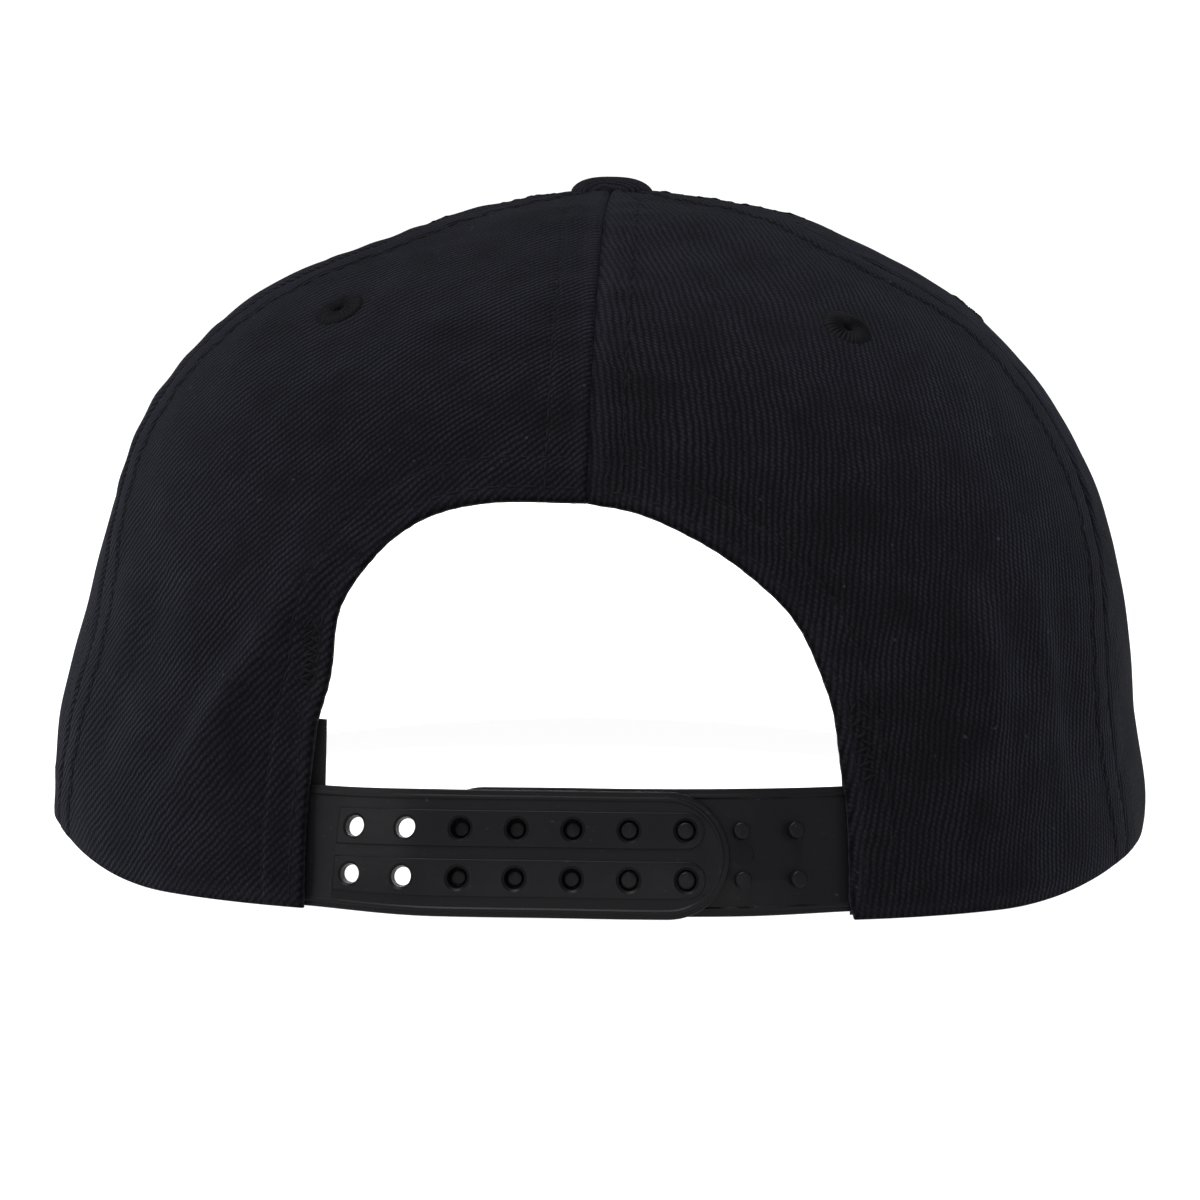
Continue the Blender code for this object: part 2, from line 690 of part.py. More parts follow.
def make_peg_strap():
    """The inner strap: two rows of pegs that stand in the outer strap's holes."""
    first = LAST_HOLE - (FASTENED_COLUMNS - 1) * COLUMN_PITCH
    columns = [first + index * COLUMN_PITCH for index in range(COLUMNS)]
    outline = round_ended(ARCH_HALF_WIDTH + STRAP_TUCK, TIP_PEG_STRAP, PEG_STRAP_HEIGHT, PEG_STRAP_RISE)
    blank = shifted(flat_body("blank", outline, STRAP_THICKNESS), STRAP_THICKNESS / 2)
    pegs = strap_posts("pegs", columns, PEG_RADIUS, -PEG_HEIGHT, STRAP_THICKNESS / 2, 8)
    finish_strap("strap_pegs", blank, [("UNION", pegs)], peg_strap_face)


for existing in list(bpy.data.objects):
    bpy.data.objects.remove(existing)
PARTS = new_collection("snapback_cap")
CUTTERS = new_collection("cutters")
make_crown()
make_peak()
make_sweatband()
make_hole_strap()
make_peg_strap()
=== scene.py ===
"""The looks of a snapback cap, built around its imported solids, with its studio.

Metres, +Z up. The cap's rear faces -Y and its peak +Y. Left and right are those of somebody who
looks at the rear, so right is +X.
"""

import math

import bmesh
import bpy
import numpy as np
from bpy.props import FloatProperty, FloatVectorProperty, IntProperty, PointerProperty
from bpy.types import Operator, Panel, PropertyGroup
from mathutils import Matrix, Vector


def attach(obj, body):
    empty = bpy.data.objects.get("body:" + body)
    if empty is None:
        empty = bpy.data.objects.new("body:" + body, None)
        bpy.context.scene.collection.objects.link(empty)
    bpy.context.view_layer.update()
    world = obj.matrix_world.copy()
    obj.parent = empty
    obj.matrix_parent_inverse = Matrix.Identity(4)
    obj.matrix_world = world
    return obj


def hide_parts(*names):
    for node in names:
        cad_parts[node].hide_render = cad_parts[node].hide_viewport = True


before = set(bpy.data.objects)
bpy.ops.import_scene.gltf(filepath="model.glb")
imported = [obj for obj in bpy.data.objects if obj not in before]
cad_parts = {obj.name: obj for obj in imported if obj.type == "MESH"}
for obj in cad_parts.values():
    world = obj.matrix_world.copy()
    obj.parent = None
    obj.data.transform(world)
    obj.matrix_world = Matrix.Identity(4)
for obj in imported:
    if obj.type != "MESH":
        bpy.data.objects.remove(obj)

bl_info = {
    "name": "Snapback Cap",
    "version": (1, 0, 0),
    "blender": (4, 5, 0),
    "location": "3D View > Sidebar > Cap",
    "description": "Builds the cloth, trim, straps and studio of a snapback cap",
    "category": "Object",
}

MM = 0.001
TOLERANCE = 1e-6

# Crown: its sizes are those of the part's source
RIM_HALF_WIDTH = 93.2 * MM
RIM_REAR = 94.4 * MM
RIM_FRONT = 92.0 * MM
RIM_SQUARENESS_REAR = 2.64
RIM_SQUARENESS_FRONT = 2.2
RIM_ROUNDING = 0.6
CROWN_HEIGHT = 111.0 * MM
CROWN_LEAN = 1.5 * MM
CLOTH = 1.8 * MM
CLEARANCE = 0.3 * MM
GORE_DIP = 1.2 * MM
FOLD_HEIGHT = 1.6 * MM
TOP_HOLE_RADIUS = 3.0 * MM
SIDE_LIFT = 6.2 * MM
ARCH_HALF_WIDTH = 42.8 * MM
ARCH_HEIGHT = 63.0 * MM

# Peak: its sizes are those of the part's source
PEAK_SPREAD = 0.8 * MM
PEAK_REACH = 68.0 * MM
PEAK_THICKNESS = 3.5 * MM
PEAK_END = 22.0 * MM
PEAK_SQUARENESS = 2.7
PEAK_TILT = math.radians(4.0)
PEAK_ARCH = 8.5 * MM
PEAK_FLOOR_GAP = 0.05 * MM
PEAK_GROOVE, PEAK_GROOVE_WIDTH = 0.22 * MM, 0.7 * MM
PEAK_STITCH_LIFT = 0.14 * MM
RIM_TURN = math.radians(34.0)
RIM_SETTLED = math.radians(5.7)

# The rim's left side stands higher in the photo than on the part, between these two azimuths
LEFT_LIFT = 2.2 * MM
LEFT_LIFT_SPAN = (math.radians(42.0), math.radians(84.0))

# Sweatband, button and eyelets: the left end, the drop, the shift and the bore follow the photo
BAND_HEIGHT = 33.0 * MM
BAND_THICKNESS = 1.2 * MM
BAND_GAP = 0.6 * MM
BAND_END_DROP = 3.9 * MM
BAND_END = 41.0 * MM
BAND_FRONT_TUCK = 4.6 * MM
BAND_CUT_BACK = 0.02
BAND_WAVE, BAND_WAVE_LENGTH = 0.18 * MM, 23 * MM
FACING_TURN = 0.16
FACING_WRAP = 0.25 * MM
BUTTON_RADIUS = 7.2 * MM
BUTTON_HEIGHT = 3.2 * MM
BUTTON_SHIFT = np.array([0.0, 0.0, -1.1]) * MM
BUTTON_WEAVE = 1.35
BUTTON_PLEATS, PLEAT_DEPTH = 11, 0.012
WASHER_RADIUS, WASHER_THICKNESS = 5.0 * MM, 0.6 * MM
EYELET_RADIUS = 4.2 * MM
EYELET_BORE = 0.8 * MM
EYELET_PUNCH = 1.35 * MM
SIDE_EYELET_SUNK = 0.5 * MM

# Straps: the droop, the holes and the pegs' heights follow the photo
STRAP_THICKNESS = 1.5 * MM
HOLE_STRAP_HEIGHT = 19.0 * MM
PEG_STRAP_HEIGHT = 19.4 * MM
PEG_STRAP_RISE = 0.35 * MM
STRAP_TUCK = 9.0 * MM
STRAP_BOTTOM = 0.9 * MM
STRAP_SAG = 0.5 * MM
STRAP_DROOP = 0.75 * MM
STRAP_BULGE = 1.2 * MM
STRAP_PARTING = 0.9 * MM
STRAP_OUT = 0.5
STRAP_TUCK_START = 0.55
COLUMN_PITCH = 8.75 * MM
ROW_PITCH = 7.3 * MM
LAST_HOLE = 16.6 * MM
TIP_MARGIN = 6.7 * MM
SINK_RADIUS = 1.65 * MM
HOLE_INNER_RADIUS = 1.30 * MM
HOLE_TAPER = 0.42 * MM
PEG_RADIUS = 1.3 * MM
PEG_HEIGHTS = np.array([1.0, 1.1, 1.3, 1.8, 2.1, 2.0, 2.0]) * MM
PAD_HEIGHT = 5.5 * MM
PAD_RISE = 0.3 * MM
PAD_MARGIN = 2.9 * MM
PAD_EDGE_ROUND = 0.2 * MM
BEAD_MARGIN = 0.55 * MM
BEAD_FLANK, BEAD_CREST = 0.22 * MM, 0.30 * MM
PEG_ROOT = 0.6 * MM
STRAP_SLICE = 1.7 * MM
SHARP_ANGLE = math.radians(32)
PEG_TIP_ROUND = 0.38 * MM
MARK_RADIUS, MARK_DEPTH = 1.7 * MM, 0.12 * MM
COLUMNS = 7
FASTENED_COLUMNS = 5
FACETS = 28

# Share of the crown's height, then the shares of the rim's reach there
PROFILE = (
    # height, rear, left, right, front
    (0.00, 1.000, 1.000, 1.000, 1.000),
    (0.02, 1.000, 1.000, 1.000, 1.000),
    (0.16, 0.969, 0.995, 0.979, 0.998),
    (0.32, 0.931, 0.954, 0.960, 0.990),
    (0.48, 0.893, 0.913, 0.917, 0.965),
    (0.62, 0.834, 0.866, 0.845, 0.925),
    (0.74, 0.743, 0.776, 0.746, 0.860),
    (0.84, 0.605, 0.641, 0.619, 0.760),
    (0.92, 0.436, 0.428, 0.445, 0.590),
    (0.97, 0.296, 0.235, 0.290, 0.390),
    (1.00, 0.000, 0.000, 0.000, 0.000),
)

# Azimuth from the rear in degrees, then the share of SIDE_LIFT that the rim stands above the floor
RIM_RISE = (
    (0.0, 0.0), (40.0, 0.0), (62.0, 0.60), (90.0, 1.0),
)

SEAMS = (-180.0, -122.0, -62.0, 0.0, 62.0, 122.0, 180.0)
SIDE_SEAM, FRONT_SEAM = math.radians(62.0), math.radians(122.0)
SEAM_BOW = math.radians(8.0)
GORES = ("front_panel_left", "side_panel_left", "rear_panel_left",
         "rear_panel_right", "side_panel_right", "front_panel_right")

# Soft folds: azimuth and height share of both ends, width as a share of the rim's half width,
# height as a share of FOLD_HEIGHT
FOLDS = (
    (-27.0, 0.55, -40.0, 0.11, 0.085, 1.0),
    (-49.0, 0.42, -55.0, 0.10, 0.070, -0.6),
    (40.0, 0.42, 38.0, 0.12, 0.065, 0.7),
    (46.0, 0.30, 44.5, 0.11, 0.045, 0.6),
    (53.0, 0.45, 51.5, 0.16, 0.055, -0.5),
)

# Narrow creases: azimuth and height share of both ends, then width and height in mm
CREASES = (
    (-27.5, 0.50, -40.0, 0.16, 3.2, 0.65),
    (-34.5, 0.46, -44.0, 0.12, 4.0, -0.45),
    (-51.0, 0.45, -57.0, 0.10, 5.0, 0.5),
    (-57.0, 0.52, -66.0, 0.20, 4.0, -0.35),
    (42.0, 0.43, 41.0, 0.10, 3.2, 0.55),
    (46.5, 0.40, 44.5, 0.12, 3.2, -0.40),
    (50.5, 0.42, 49.5, 0.12, 3.0, 0.50),
    (56.0, 0.55, 54.0, 0.15, 4.0, -0.35),
    (-18.0, 0.86, -37.0, 0.70, 6.0, 0.35),
    (22.0, 0.84, 30.0, 0.62, 6.0, 0.30),
    (-100.0, 0.60, -96.0, 0.20, 6.0, 0.5),
    (104.0, 0.55, 98.0, 0.22, 6.0, 0.5),
)

# The opening's edge from its foot to its apex, seen from behind: distance from the middle and height
ARCH_LEFT = (
    # mm, mm
    (42.8, 0.0), (42.8, 9.0), (42.5, 17.0), (42.0, 23.0), (41.4, 28.5), (40.6, 31.5),
    (39.7, 34.8), (39.2, 38.5), (39.0, 42.0), (38.3, 45.7), (36.6, 49.2), (33.9, 53.0),
    (30.6, 56.6), (25.0, 60.3), (18.5, 62.3), (9.5, 63.1), (0.0, 63.0),
)
ARCH_RIGHT = (
    # mm, mm
    (42.6, 0.0), (41.9, 2.6), (41.7, 8.0), (41.4, 14.0), (41.0, 18.5), (40.3, 22.0),
    (39.8, 25.5), (39.3, 29.0), (38.6, 32.4), (37.3, 36.0), (35.8, 39.6), (34.0, 43.2),
    (31.4, 46.9), (27.6, 50.5), (23.0, 54.1), (17.0, 57.7), (7.8, 61.6), (0.0, 63.0),
)

# Eyelets: name, azimuth in degrees, height share
EYELETS = (
    ("eyelet_rear_left", -44.3, 0.820),
    ("eyelet_rear_right", 38.0, 0.806),
    ("eyelet_side_left", -92.0, 0.810),
    ("eyelet_side_right", 92.0, 0.810),
    ("eyelet_front_left", -151.0, 0.830),
    ("eyelet_front_right", 151.0, 0.830),
)

PEAK_HALF_WIDTH = RIM_HALF_WIDTH + PEAK_SPREAD
FRONT_REACH = RIM_FRONT + PEAK_REACH
REAR_REACH = RIM_REAR + STRAP_BULGE + PAD_RISE
AXIS_Y = (REAR_REACH - FRONT_REACH) / 2

# Sewing: sizes, and distances from a cloth edge
EDGE_DEPTH = CLOTH / 2
EDGE_ROUND = 0.5 * MM
SIDE_EDGE_ROUND = 0.26 * MM
SEAM_SLIT = 0.02 * MM
SEAM_ROW = 6.4 * MM
TACKS = {
    # side: lower end, upper end, nearest to the opening and farthest from it
    -1: (34.0 * MM, 44.0 * MM, 2.2 * MM, 4.2 * MM),
    1: (21.0 * MM, 34.0 * MM, 2.4 * MM, 5.0 * MM),
}
REAR_SEAM_ROW_LEFT = 6.5 * MM
REAR_SEAM_ROW_RIGHT = 5.3 * MM
HEM_OUTER_ROW = 6.5 * MM
HEM_INNER_ROW = 1.9 * MM
ALLOWANCE_RISE = 0.30 * MM
ROW_GROOVE = 0.20 * MM
SIDE_ROW_GROOVE = 0.04 * MM
ROW_GROOVE_WIDTH = 0.55 * MM
# Painted shade along the seams and edges: its width, then how much of it fades at the side seams and near the
# top; RUBBED lightens a worn band beside the edges
SEAM_SHADE_WIDTH = 0.45 * MM
SIDE_SEAM_FADE, TOP_SEAM_FADE, RUBBED = 0.95, 0.8, 0.6
SEAM_ROW_START, SEAM_ROW_END = 4.0 * MM, 4.5 * MM
PUCKER_RISE = 0.10 * MM
PUCKER_LENGTH = 7.5 * MM
NEAR_EDGE = np.array([0, 0.03, 0.12, 0.28, 0.5, 0.85, 1.4, 2.1, 3.1, 4.2, 4.75, 5.1, 5.4, 5.9, 6.2,
                      6.5, 6.8, 7.1, 7.4, 7.9]) * MM
NEAR_RIM = np.array([0, 0.03, 0.12, 0.28, 0.5, 0.9, 1.5, 2.2]) * MM
NARROW = 2.4
SIDE_GRID_STRETCH, REAR_GRID_STRETCH = 1.25, 1.1
GRAIN_TURN_RIGHT = math.radians(28)


def length_property(name, description, default, **limits):
    return FloatProperty(name=name, description=description, default=default, precision=5, unit="LENGTH",
                         **limits)


def colour_property(name, description, default):
    return FloatVectorProperty(name=name, description=description, default=default, subtype="COLOR",
                               min=0, max=1)


def power_property(name, description, default):
    return FloatProperty(name=name, description=description, default=default, min=0, unit="POWER")


class CapClothSettings(PropertyGroup):
    twill_pitch: length_property("Twill pitch", "Distance between two ribs of the twill",
                                 1.0 * MM, min=0.3 * MM, max=4 * MM)
    twill_angle: FloatProperty(name="Twill angle", description="Turn of the ribs from a gore's middle line",
                               default=math.radians(40), subtype="ANGLE")
    cloth_grid: length_property("Cloth grid", "Distance between the cloth's grid lines",
                                0.95 * MM, min=0.3 * MM, max=5 * MM)
    twill_colour: colour_property("Twill colour", "Colour of the black twill's ribs",
                                  (0.0037, 0.0036, 0.0051))
    backing_colour: colour_property("Backing colour", "Colour inside the front panels",
                                    (0.86, 0.86, 0.85))
    tape_colour: colour_property("Tape colour", "Colour of the seam tape inside",
                                 (0.80, 0.80, 0.79))
    peak_rows: IntProperty(name="Peak rows", description="Rows of stitching round the peak",
                           default=8, min=1, max=14)
    peak_row_pitch: length_property("Peak row pitch", "Distance between the peak's rows", 6.2 * MM)


class CapSewingSettings(PropertyGroup):
    stitch_length: length_property("Stitch length", "Length of thread that shows in a stitch", 2.5 * MM)
    stitch_pitch: length_property("Stitch pitch", "Distance from stitch to stitch", 3.0 * MM)
    thread_radius: length_property("Thread radius", "Half the thread's thickness", 0.21 * MM)
    thread_colour: colour_property("Thread colour", "Colour of the sewing thread",
                                   (0.0029, 0.0029, 0.0038))
    eyelet_ridges: IntProperty(name="Eyelet ridges", description="Thread ridges round an eyelet",
                               default=30, min=8, max=90)


class CapStrapSettings(PropertyGroup):
    edge_round: length_property("Edge rounding", "Rounding of the straps' edges", 0.28 * MM)
    bead_height: length_property("Bead height", "Rise of the bead along a strap's edge", 0.20 * MM)
    countersink: length_property("Countersink", "Widening of a hole at the strap's face", 0.34 * MM)
    strap_colour: colour_property("Strap colour", "Colour of the moulded straps",
                                  (0.0030, 0.0029, 0.0036))


class CapStudioSettings(PropertyGroup):
    floor_colour: colour_property("Floor colour", "Colour of the floor",
                                  (0.35, 0.35, 0.35))
    table_glow: FloatProperty(name="Table glow", description="Light that comes up through the table",
                              default=0.97, min=0)
    front_power: power_property("Front light", "Power of the low, wide light at the front", 18.0)
    top_power: power_property("Top light", "Power of the soft light above", 36.0)
    inner_power: power_property("Inner light", "Power of the small light inside the crown", 0.13)
    left_power: power_property("Left light", "Power of the soft light at the left", 12.5)
    right_power: power_property("Right light", "Power of the soft light at the right", 4.5)
    sky_strength: FloatProperty(name="Surroundings", default=0.30, min=0,
                                description="Light that the surroundings shed on the cap")
    backdrop_strength: FloatProperty(name="Backdrop", description="Brightness of the backdrop in the picture",
                                     default=1.1, min=0)


def settings_of(group):
    """The settings of one group: cloth, sewing, strap or studio."""
    return getattr(bpy.context.scene, "cap_" + group)


# Crown surface: the rules of the part's source, but for the lean, LEFT_LIFT and the seams' bow

def ease(value, low, high):
    """Smooth step from 0 at low to 1 at high."""
    share = np.clip((value - low) / (high - low), 0.0, 1.0)
    return share * share * (3 - 2 * share)


def curve_through(knots, values, at):
    """Smooth curve through the values at the knots, with no overshoot."""
    knots = np.asarray(knots, dtype=float)
    values = np.asarray(values, dtype=float)
    gaps = np.diff(knots)[:, None]
    slopes = np.diff(values, axis=0) / gaps
    tangents = np.empty_like(values)
    tangents[0], tangents[-1] = slopes[0], slopes[-1]
    turning = slopes[1:] * slopes[:-1] <= 0
    tangents[1:-1] = np.where(turning, 0.0, (slopes[1:] + slopes[:-1]) / 2)
    index = np.clip(np.searchsorted(knots, at, side="right") - 1, 0, len(knots) - 2)
    gap = gaps[index]
    u = (np.asarray(at)[..., None] - knots[index][..., None]) / gap
    start = (2 * u**3 - 3 * u**2 + 1) * values[index] + (u**3 - 2 * u**2 + u) * gap * tangents[index]
    end = (3 * u**2 - 2 * u**3) * values[index + 1] + (u**3 - u**2) * gap * tangents[index + 1]
    return start + end


HEM_TOP = PROFILE[1][0]
ROW_GAP = (1.0 - HEM_TOP) / (len(PROFILE) - 2)
PROFILE_KNOTS = np.concatenate([[0.0], HEM_TOP + ROW_GAP * np.arange(len(PROFILE))])
PROFILE_TABLE = np.vstack([PROFILE, np.array(PROFILE[-2]) * (1, -1, -1, -1, -1)])


def profile_at(row):
    """Height share and the shares of reach at a row; a row past the top keeps the top level."""
    return curve_through(PROFILE_KNOTS, PROFILE_TABLE, row)


def rim_reach(azimuth, height=0.0):
    """Distance from the axis to the rim's plan, which grows rounder above the hem."""
    sine, cosine = np.abs(np.sin(azimuth)), np.cos(azimuth)
    at_rear = cosine > 0
    left_over = np.clip((1 - height) / (1 - HEM_TOP), 0, 1)
    squareness_rear = 2 + (RIM_SQUARENESS_REAR - 2) * left_over ** RIM_ROUNDING
    squareness = np.where(at_rear, squareness_rear, RIM_SQUARENESS_FRONT)
    reach = np.where(at_rear, RIM_REAR, RIM_FRONT)
    sides = (sine / RIM_HALF_WIDTH) ** squareness
    ends = (np.abs(cosine) / reach) ** squareness
    return (sides + ends) ** (-1 / squareness)


def peak_outline(angle):
    """The peak's outer edge in plan; the angle is 0 at the front and a right angle at the ends."""
    power = 2 / PEAK_SQUARENESS
    x = PEAK_HALF_WIDTH * np.sign(np.sin(angle)) * np.abs(np.sin(angle)) ** power
    y = PEAK_END + (FRONT_REACH - PEAK_END) * np.abs(np.cos(angle)) ** power
    return x, y


def peak_fall(x, y):
    """How far the peak's top has fallen from its height on the crown's axis."""
    return math.tan(PEAK_TILT) * y + PEAK_ARCH * (x / PEAK_HALF_WIDTH) ** 2


PEAK_LEVEL = (PEAK_THICKNESS + PEAK_FLOOR_GAP
              + peak_fall(*peak_outline(np.linspace(-math.pi / 2, math.pi / 2, 181))).max())
PEAK_START = math.pi / 2 + math.atan2(PEAK_END, RIM_HALF_WIDTH)


def peak_top(x, y):
    """Height of the peak's top face, whose corners lie just above the floor."""
    return PEAK_LEVEL - peak_fall(x, y)


def rim_height(azimuth):
    """Height of the rim: on the floor at the rear, on the peak at the front."""
    turn = np.abs(azimuth)
    rise = np.array(RIM_RISE)
    rear = curve_through(np.radians(rise[:, 0]), rise[:, 1:], np.minimum(turn, math.pi / 2))[..., 0]
    inner = rim_reach(azimuth) - CLOTH
    front = peak_top(inner * np.sin(azimuth), -inner * np.cos(azimuth)) + CLEARANCE
    blend = ease(turn, PEAK_START - RIM_TURN, PEAK_START - RIM_SETTLED)
    higher = LEFT_LIFT * ease(-azimuth, *LEFT_LIFT_SPAN)
    return (1 - blend) * (SIDE_LIFT * rear + higher) + blend * front


def seam_bow(height):
    """How far the side seams stand outwards of their straight line."""
    return SEAM_BOW * ease(height, 0.22, 0.66) * (1 - ease(height, 0.76, 0.93))


def seam_azimuth(seam, row):
    """Azimuth of a seam at each row."""
    azimuth = np.full(np.shape(row), math.radians(seam))
    if abs(abs(azimuth.flat[0]) - SIDE_SEAM) < TOLERANCE:
        azimuth = azimuth + math.copysign(1.0, seam) * seam_bow(np.interp(row, FINE_ROWS, FINE_HEIGHTS))
    return azimuth


def gore_share(azimuth, height):
    """Where an azimuth lies between its two seams, from 0 to 1."""
    turn = np.abs(azimuth)
    side_seam = SIDE_SEAM + seam_bow(height)
    ahead = np.where(turn < FRONT_SEAM, (turn - side_seam) / (FRONT_SEAM - side_seam),
                     (turn - FRONT_SEAM) / (math.pi - FRONT_SEAM))
    return np.where(turn < side_seam, turn / side_seam, ahead)


def fold_rise(azimuth, height, reach):
    """How far the soft folds lift the cloth."""
    total = np.zeros(np.broadcast(azimuth, height).shape)
    for azimuth_a, share_a, azimuth_b, share_b, width, rise in FOLDS:
        along = (share_a - height) / (share_a - share_b)
        middle = math.radians(azimuth_a) + np.clip(along, 0, 1) * math.radians(azimuth_b - azimuth_a)
        across = (azimuth - middle) * reach / (width * RIM_HALF_WIDTH)
        ends = ease(along, -0.2, 0.25) * (1 - ease(along, 0.75, 1.15))
        total = total + rise * FOLD_HEIGHT * np.exp(-across**2) * ends
    return total * ease(height, HEM_TOP, 4 * HEM_TOP)


def crown_reach(azimuth, row):
    """Height share and distance from the crown's axis at a place on the crown."""
    azimuth, row = np.broadcast_arrays(np.asarray(azimuth, float), np.asarray(row, float))
    height, rear, left, right, front = np.moveaxis(profile_at(row), -1, 0)
    sine, cosine = np.sin(azimuth), np.cos(azimuth)
    ends = np.where(cosine > 0, rear, front)
    sides = np.where(sine > 0, right, left)
    reach = rim_reach(azimuth, height) * (cosine**2 * ends + sine**2 * sides)
    dip = GORE_DIP * np.sin(math.pi * gore_share(azimuth, height)) * ease(height, 0.3, 0.8)
    reach = reach + (fold_rise(azimuth, height, reach) - dip) * ease(reach, 0, RIM_HALF_WIDTH / 3)
    return height, reach


def crown_point(azimuth, row):
    """Point of the crown's outer face. The row is 0 at the rim and 1 at the top."""
    height, reach = crown_reach(azimuth, row)
    base = rim_height(azimuth)
    x = reach * np.sin(azimuth)
    x = x + CROWN_LEAN * ease(height, HEM_TOP, 1.0) * ease(np.abs(x), 0, RIM_HALF_WIDTH / 2)
    y = AXIS_Y - reach * np.cos(azimuth)
    return np.stack([x, y, base + height * (CROWN_HEIGHT - base)], axis=-1)


def crown_normal(azimuth, row, step=1e-4):
    """Outward direction of the crown's outer face."""
    across = crown_point(azimuth + step, row) - crown_point(azimuth - step, row)
    up = crown_point(azimuth, np.minimum(row + step, 1)) - crown_point(azimuth, np.maximum(row - step, 0))
    normal = np.cross(across, up)
    return normal / np.linalg.norm(normal, axis=-1, keepdims=True)


FINE_ROWS = np.linspace(0, 1, 2001)
FINE_HEIGHTS = profile_at(FINE_ROWS)[:, 0]


def row_at(height_share):
    """The row at which the crown has this share of its height."""
    return np.interp(height_share, FINE_HEIGHTS, FINE_ROWS)


def bisect(rule, low, high):
    """Where the rising rule crosses zero, for one value or an array of them."""
    for _ in range(50):
        middle = (low + high) / 2
        below = rule(middle) < 0
        low, high = np.where(below, middle, low), np.where(below, high, middle)
    return (low + high) / 2


def azimuth_at(x, row):
    """Azimuth at the rear at which the crown's face has this x."""
    start = np.full(np.shape(x), math.pi / 2)
    return bisect(lambda azimuth: crown_point(azimuth, row)[..., 0] - x, -start, start)


def path_lengths(points):
    """Length along a path at each of its points."""
    return np.concatenate([[0], np.cumsum(np.linalg.norm(np.diff(points, axis=0), axis=1))])


# Rear opening

def arch_path(side, offset=0.0, count=1500):
    """Half of the opening's edge seen from behind, from its foot to its apex, moved outwards."""
    shape = np.array(ARCH_RIGHT if side > 0 else ARCH_LEFT) * (side * MM, MM)
    knots = path_lengths(shape)
    path = curve_through(knots, shape, np.linspace(0, knots[-1], count))
    along = np.gradient(path, axis=0)
    along /= np.linalg.norm(along, axis=-1, keepdims=True)
    outward = np.stack([along[:, 1] * side, -along[:, 0] * side], axis=-1)
    return path + outward * offset


def on_crown(path):
    """Azimuth and row of points on the crown's rear, from where they are seen from behind."""
    row = row_at(path[:, 1] / CROWN_HEIGHT)
    return azimuth_at(path[:, 0], row), row


ARCH_EDGE = np.concatenate([arch_path(-1), arch_path(1)[::-1]])[::5]


def arch_distance(points):
    """Distance from the opening's edge, seen from behind."""
    shape = points.shape[:-1]
    flat = points.reshape(-1, 3)[:, (0, 2)]
    nearest = np.full(len(flat), np.inf)
    for start in range(0, len(flat), 4000):
        part = flat[start:start + 4000]
        gaps = np.linalg.norm(part[:, None] - ARCH_EDGE[None], axis=-1)
        nearest[start:start + 4000] = gaps.min(axis=1)
    return nearest.reshape(shape)


# Sewn cloth

def seam_row(seam, side):
    """Distance from a seam to its row of stitches, on one side of it."""
    if abs(seam) > 1:
        return SEAM_ROW
    return REAR_SEAM_ROW_RIGHT if side > 0 else REAR_SEAM_ROW_LEFT


def round_over(to_edge, half):
    """How far a half-round edge falls back from the face; half is half the piece's thickness."""
    short = np.clip(half - to_edge, 0, half)
    return half - np.sqrt(half**2 - short**2)


def border(shape):
    """True on the outermost rows and columns of a grid."""
    outermost = np.zeros(shape, bool)
    outermost[(0, -1), :] = True
    outermost[:, (0, -1)] = True
    return outermost


def within_turn(azimuth):
    """The same azimuth, less a full turn where it is past half a turn."""
    return np.where(azimuth > math.pi, azimuth - 2 * math.pi, azimuth)


def edge_roll(distance, radius):
    """How far a turned edge's rounding falls back from the face."""
    short = np.clip(1 - distance / radius, 0, 1)
    return EDGE_DEPTH * (1 - np.sqrt(1 - short**2))


def sewn_rise(distance, rows, along, phase=0.0, groove=ROW_GROOVE):
    """The lie of cloth beside an edge: raised over the allowance, drawn in at the stitches, puckered."""
    outermost = max(rows)
    beyond = ease(distance, outermost - 0.8 * MM, outermost + 0.2 * MM)
    rise = ALLOWANCE_RISE * ease(distance, 0.3 * MM, 1.6 * MM) * (1 - beyond)
    pitch = settings_of("sewing").stitch_pitch
    for row in rows:
        beside = np.exp(-((distance - row) / ROW_GROOVE_WIDTH) ** 2)
        rise = rise - groove * beside * (0.7 - 0.3 * np.cos(2 * math.pi * along / pitch))
    window = ease(distance, 0.5 * MM, 3 * MM) * (1 - ease(distance, outermost, outermost + 6 * MM))
    return rise + PUCKER_RISE * np.sin(2 * math.pi * along / PUCKER_LENGTH + phase) * window


def crease_rise(azimuth, height, reach):
    """How far the narrow creases stand up from the soft folds."""
    total = 0.0
    for azimuth_a, share_a, azimuth_b, share_b, width, rise in CREASES:
        along = (share_a - height) / (share_a - share_b)
        middle = np.radians(azimuth_a + np.clip(along, 0, 1) * (azimuth_b - azimuth_a))
        across = (azimuth - middle) * reach / (width * MM)
        ends = ease(along, -0.1, 0.35) * (1 - ease(along, 0.65, 1.1))
        total = total + rise * MM * np.exp(-across**2) * ends
    return total


def ripple(x, y, phase):
    """Slight unevenness of the cloth."""
    waves = ((0.16, 41, 8, 0.3), (0.12, -18, 37, 1.9), (0.07, 95, 60, 4.0), (0.05, -70, 130, 2.2))
    total = 0.0
    for rise, across, along, start in waves:
        total = total + rise * MM * np.sin(2 * math.pi * (across * x + along * y) / 1.9 + start + phase)
    return total


def meridian(azimuth):
    """Length up the crown at each fine row, along one azimuth."""
    return path_lengths(crown_point(np.full(len(FINE_ROWS), azimuth), FINE_ROWS))


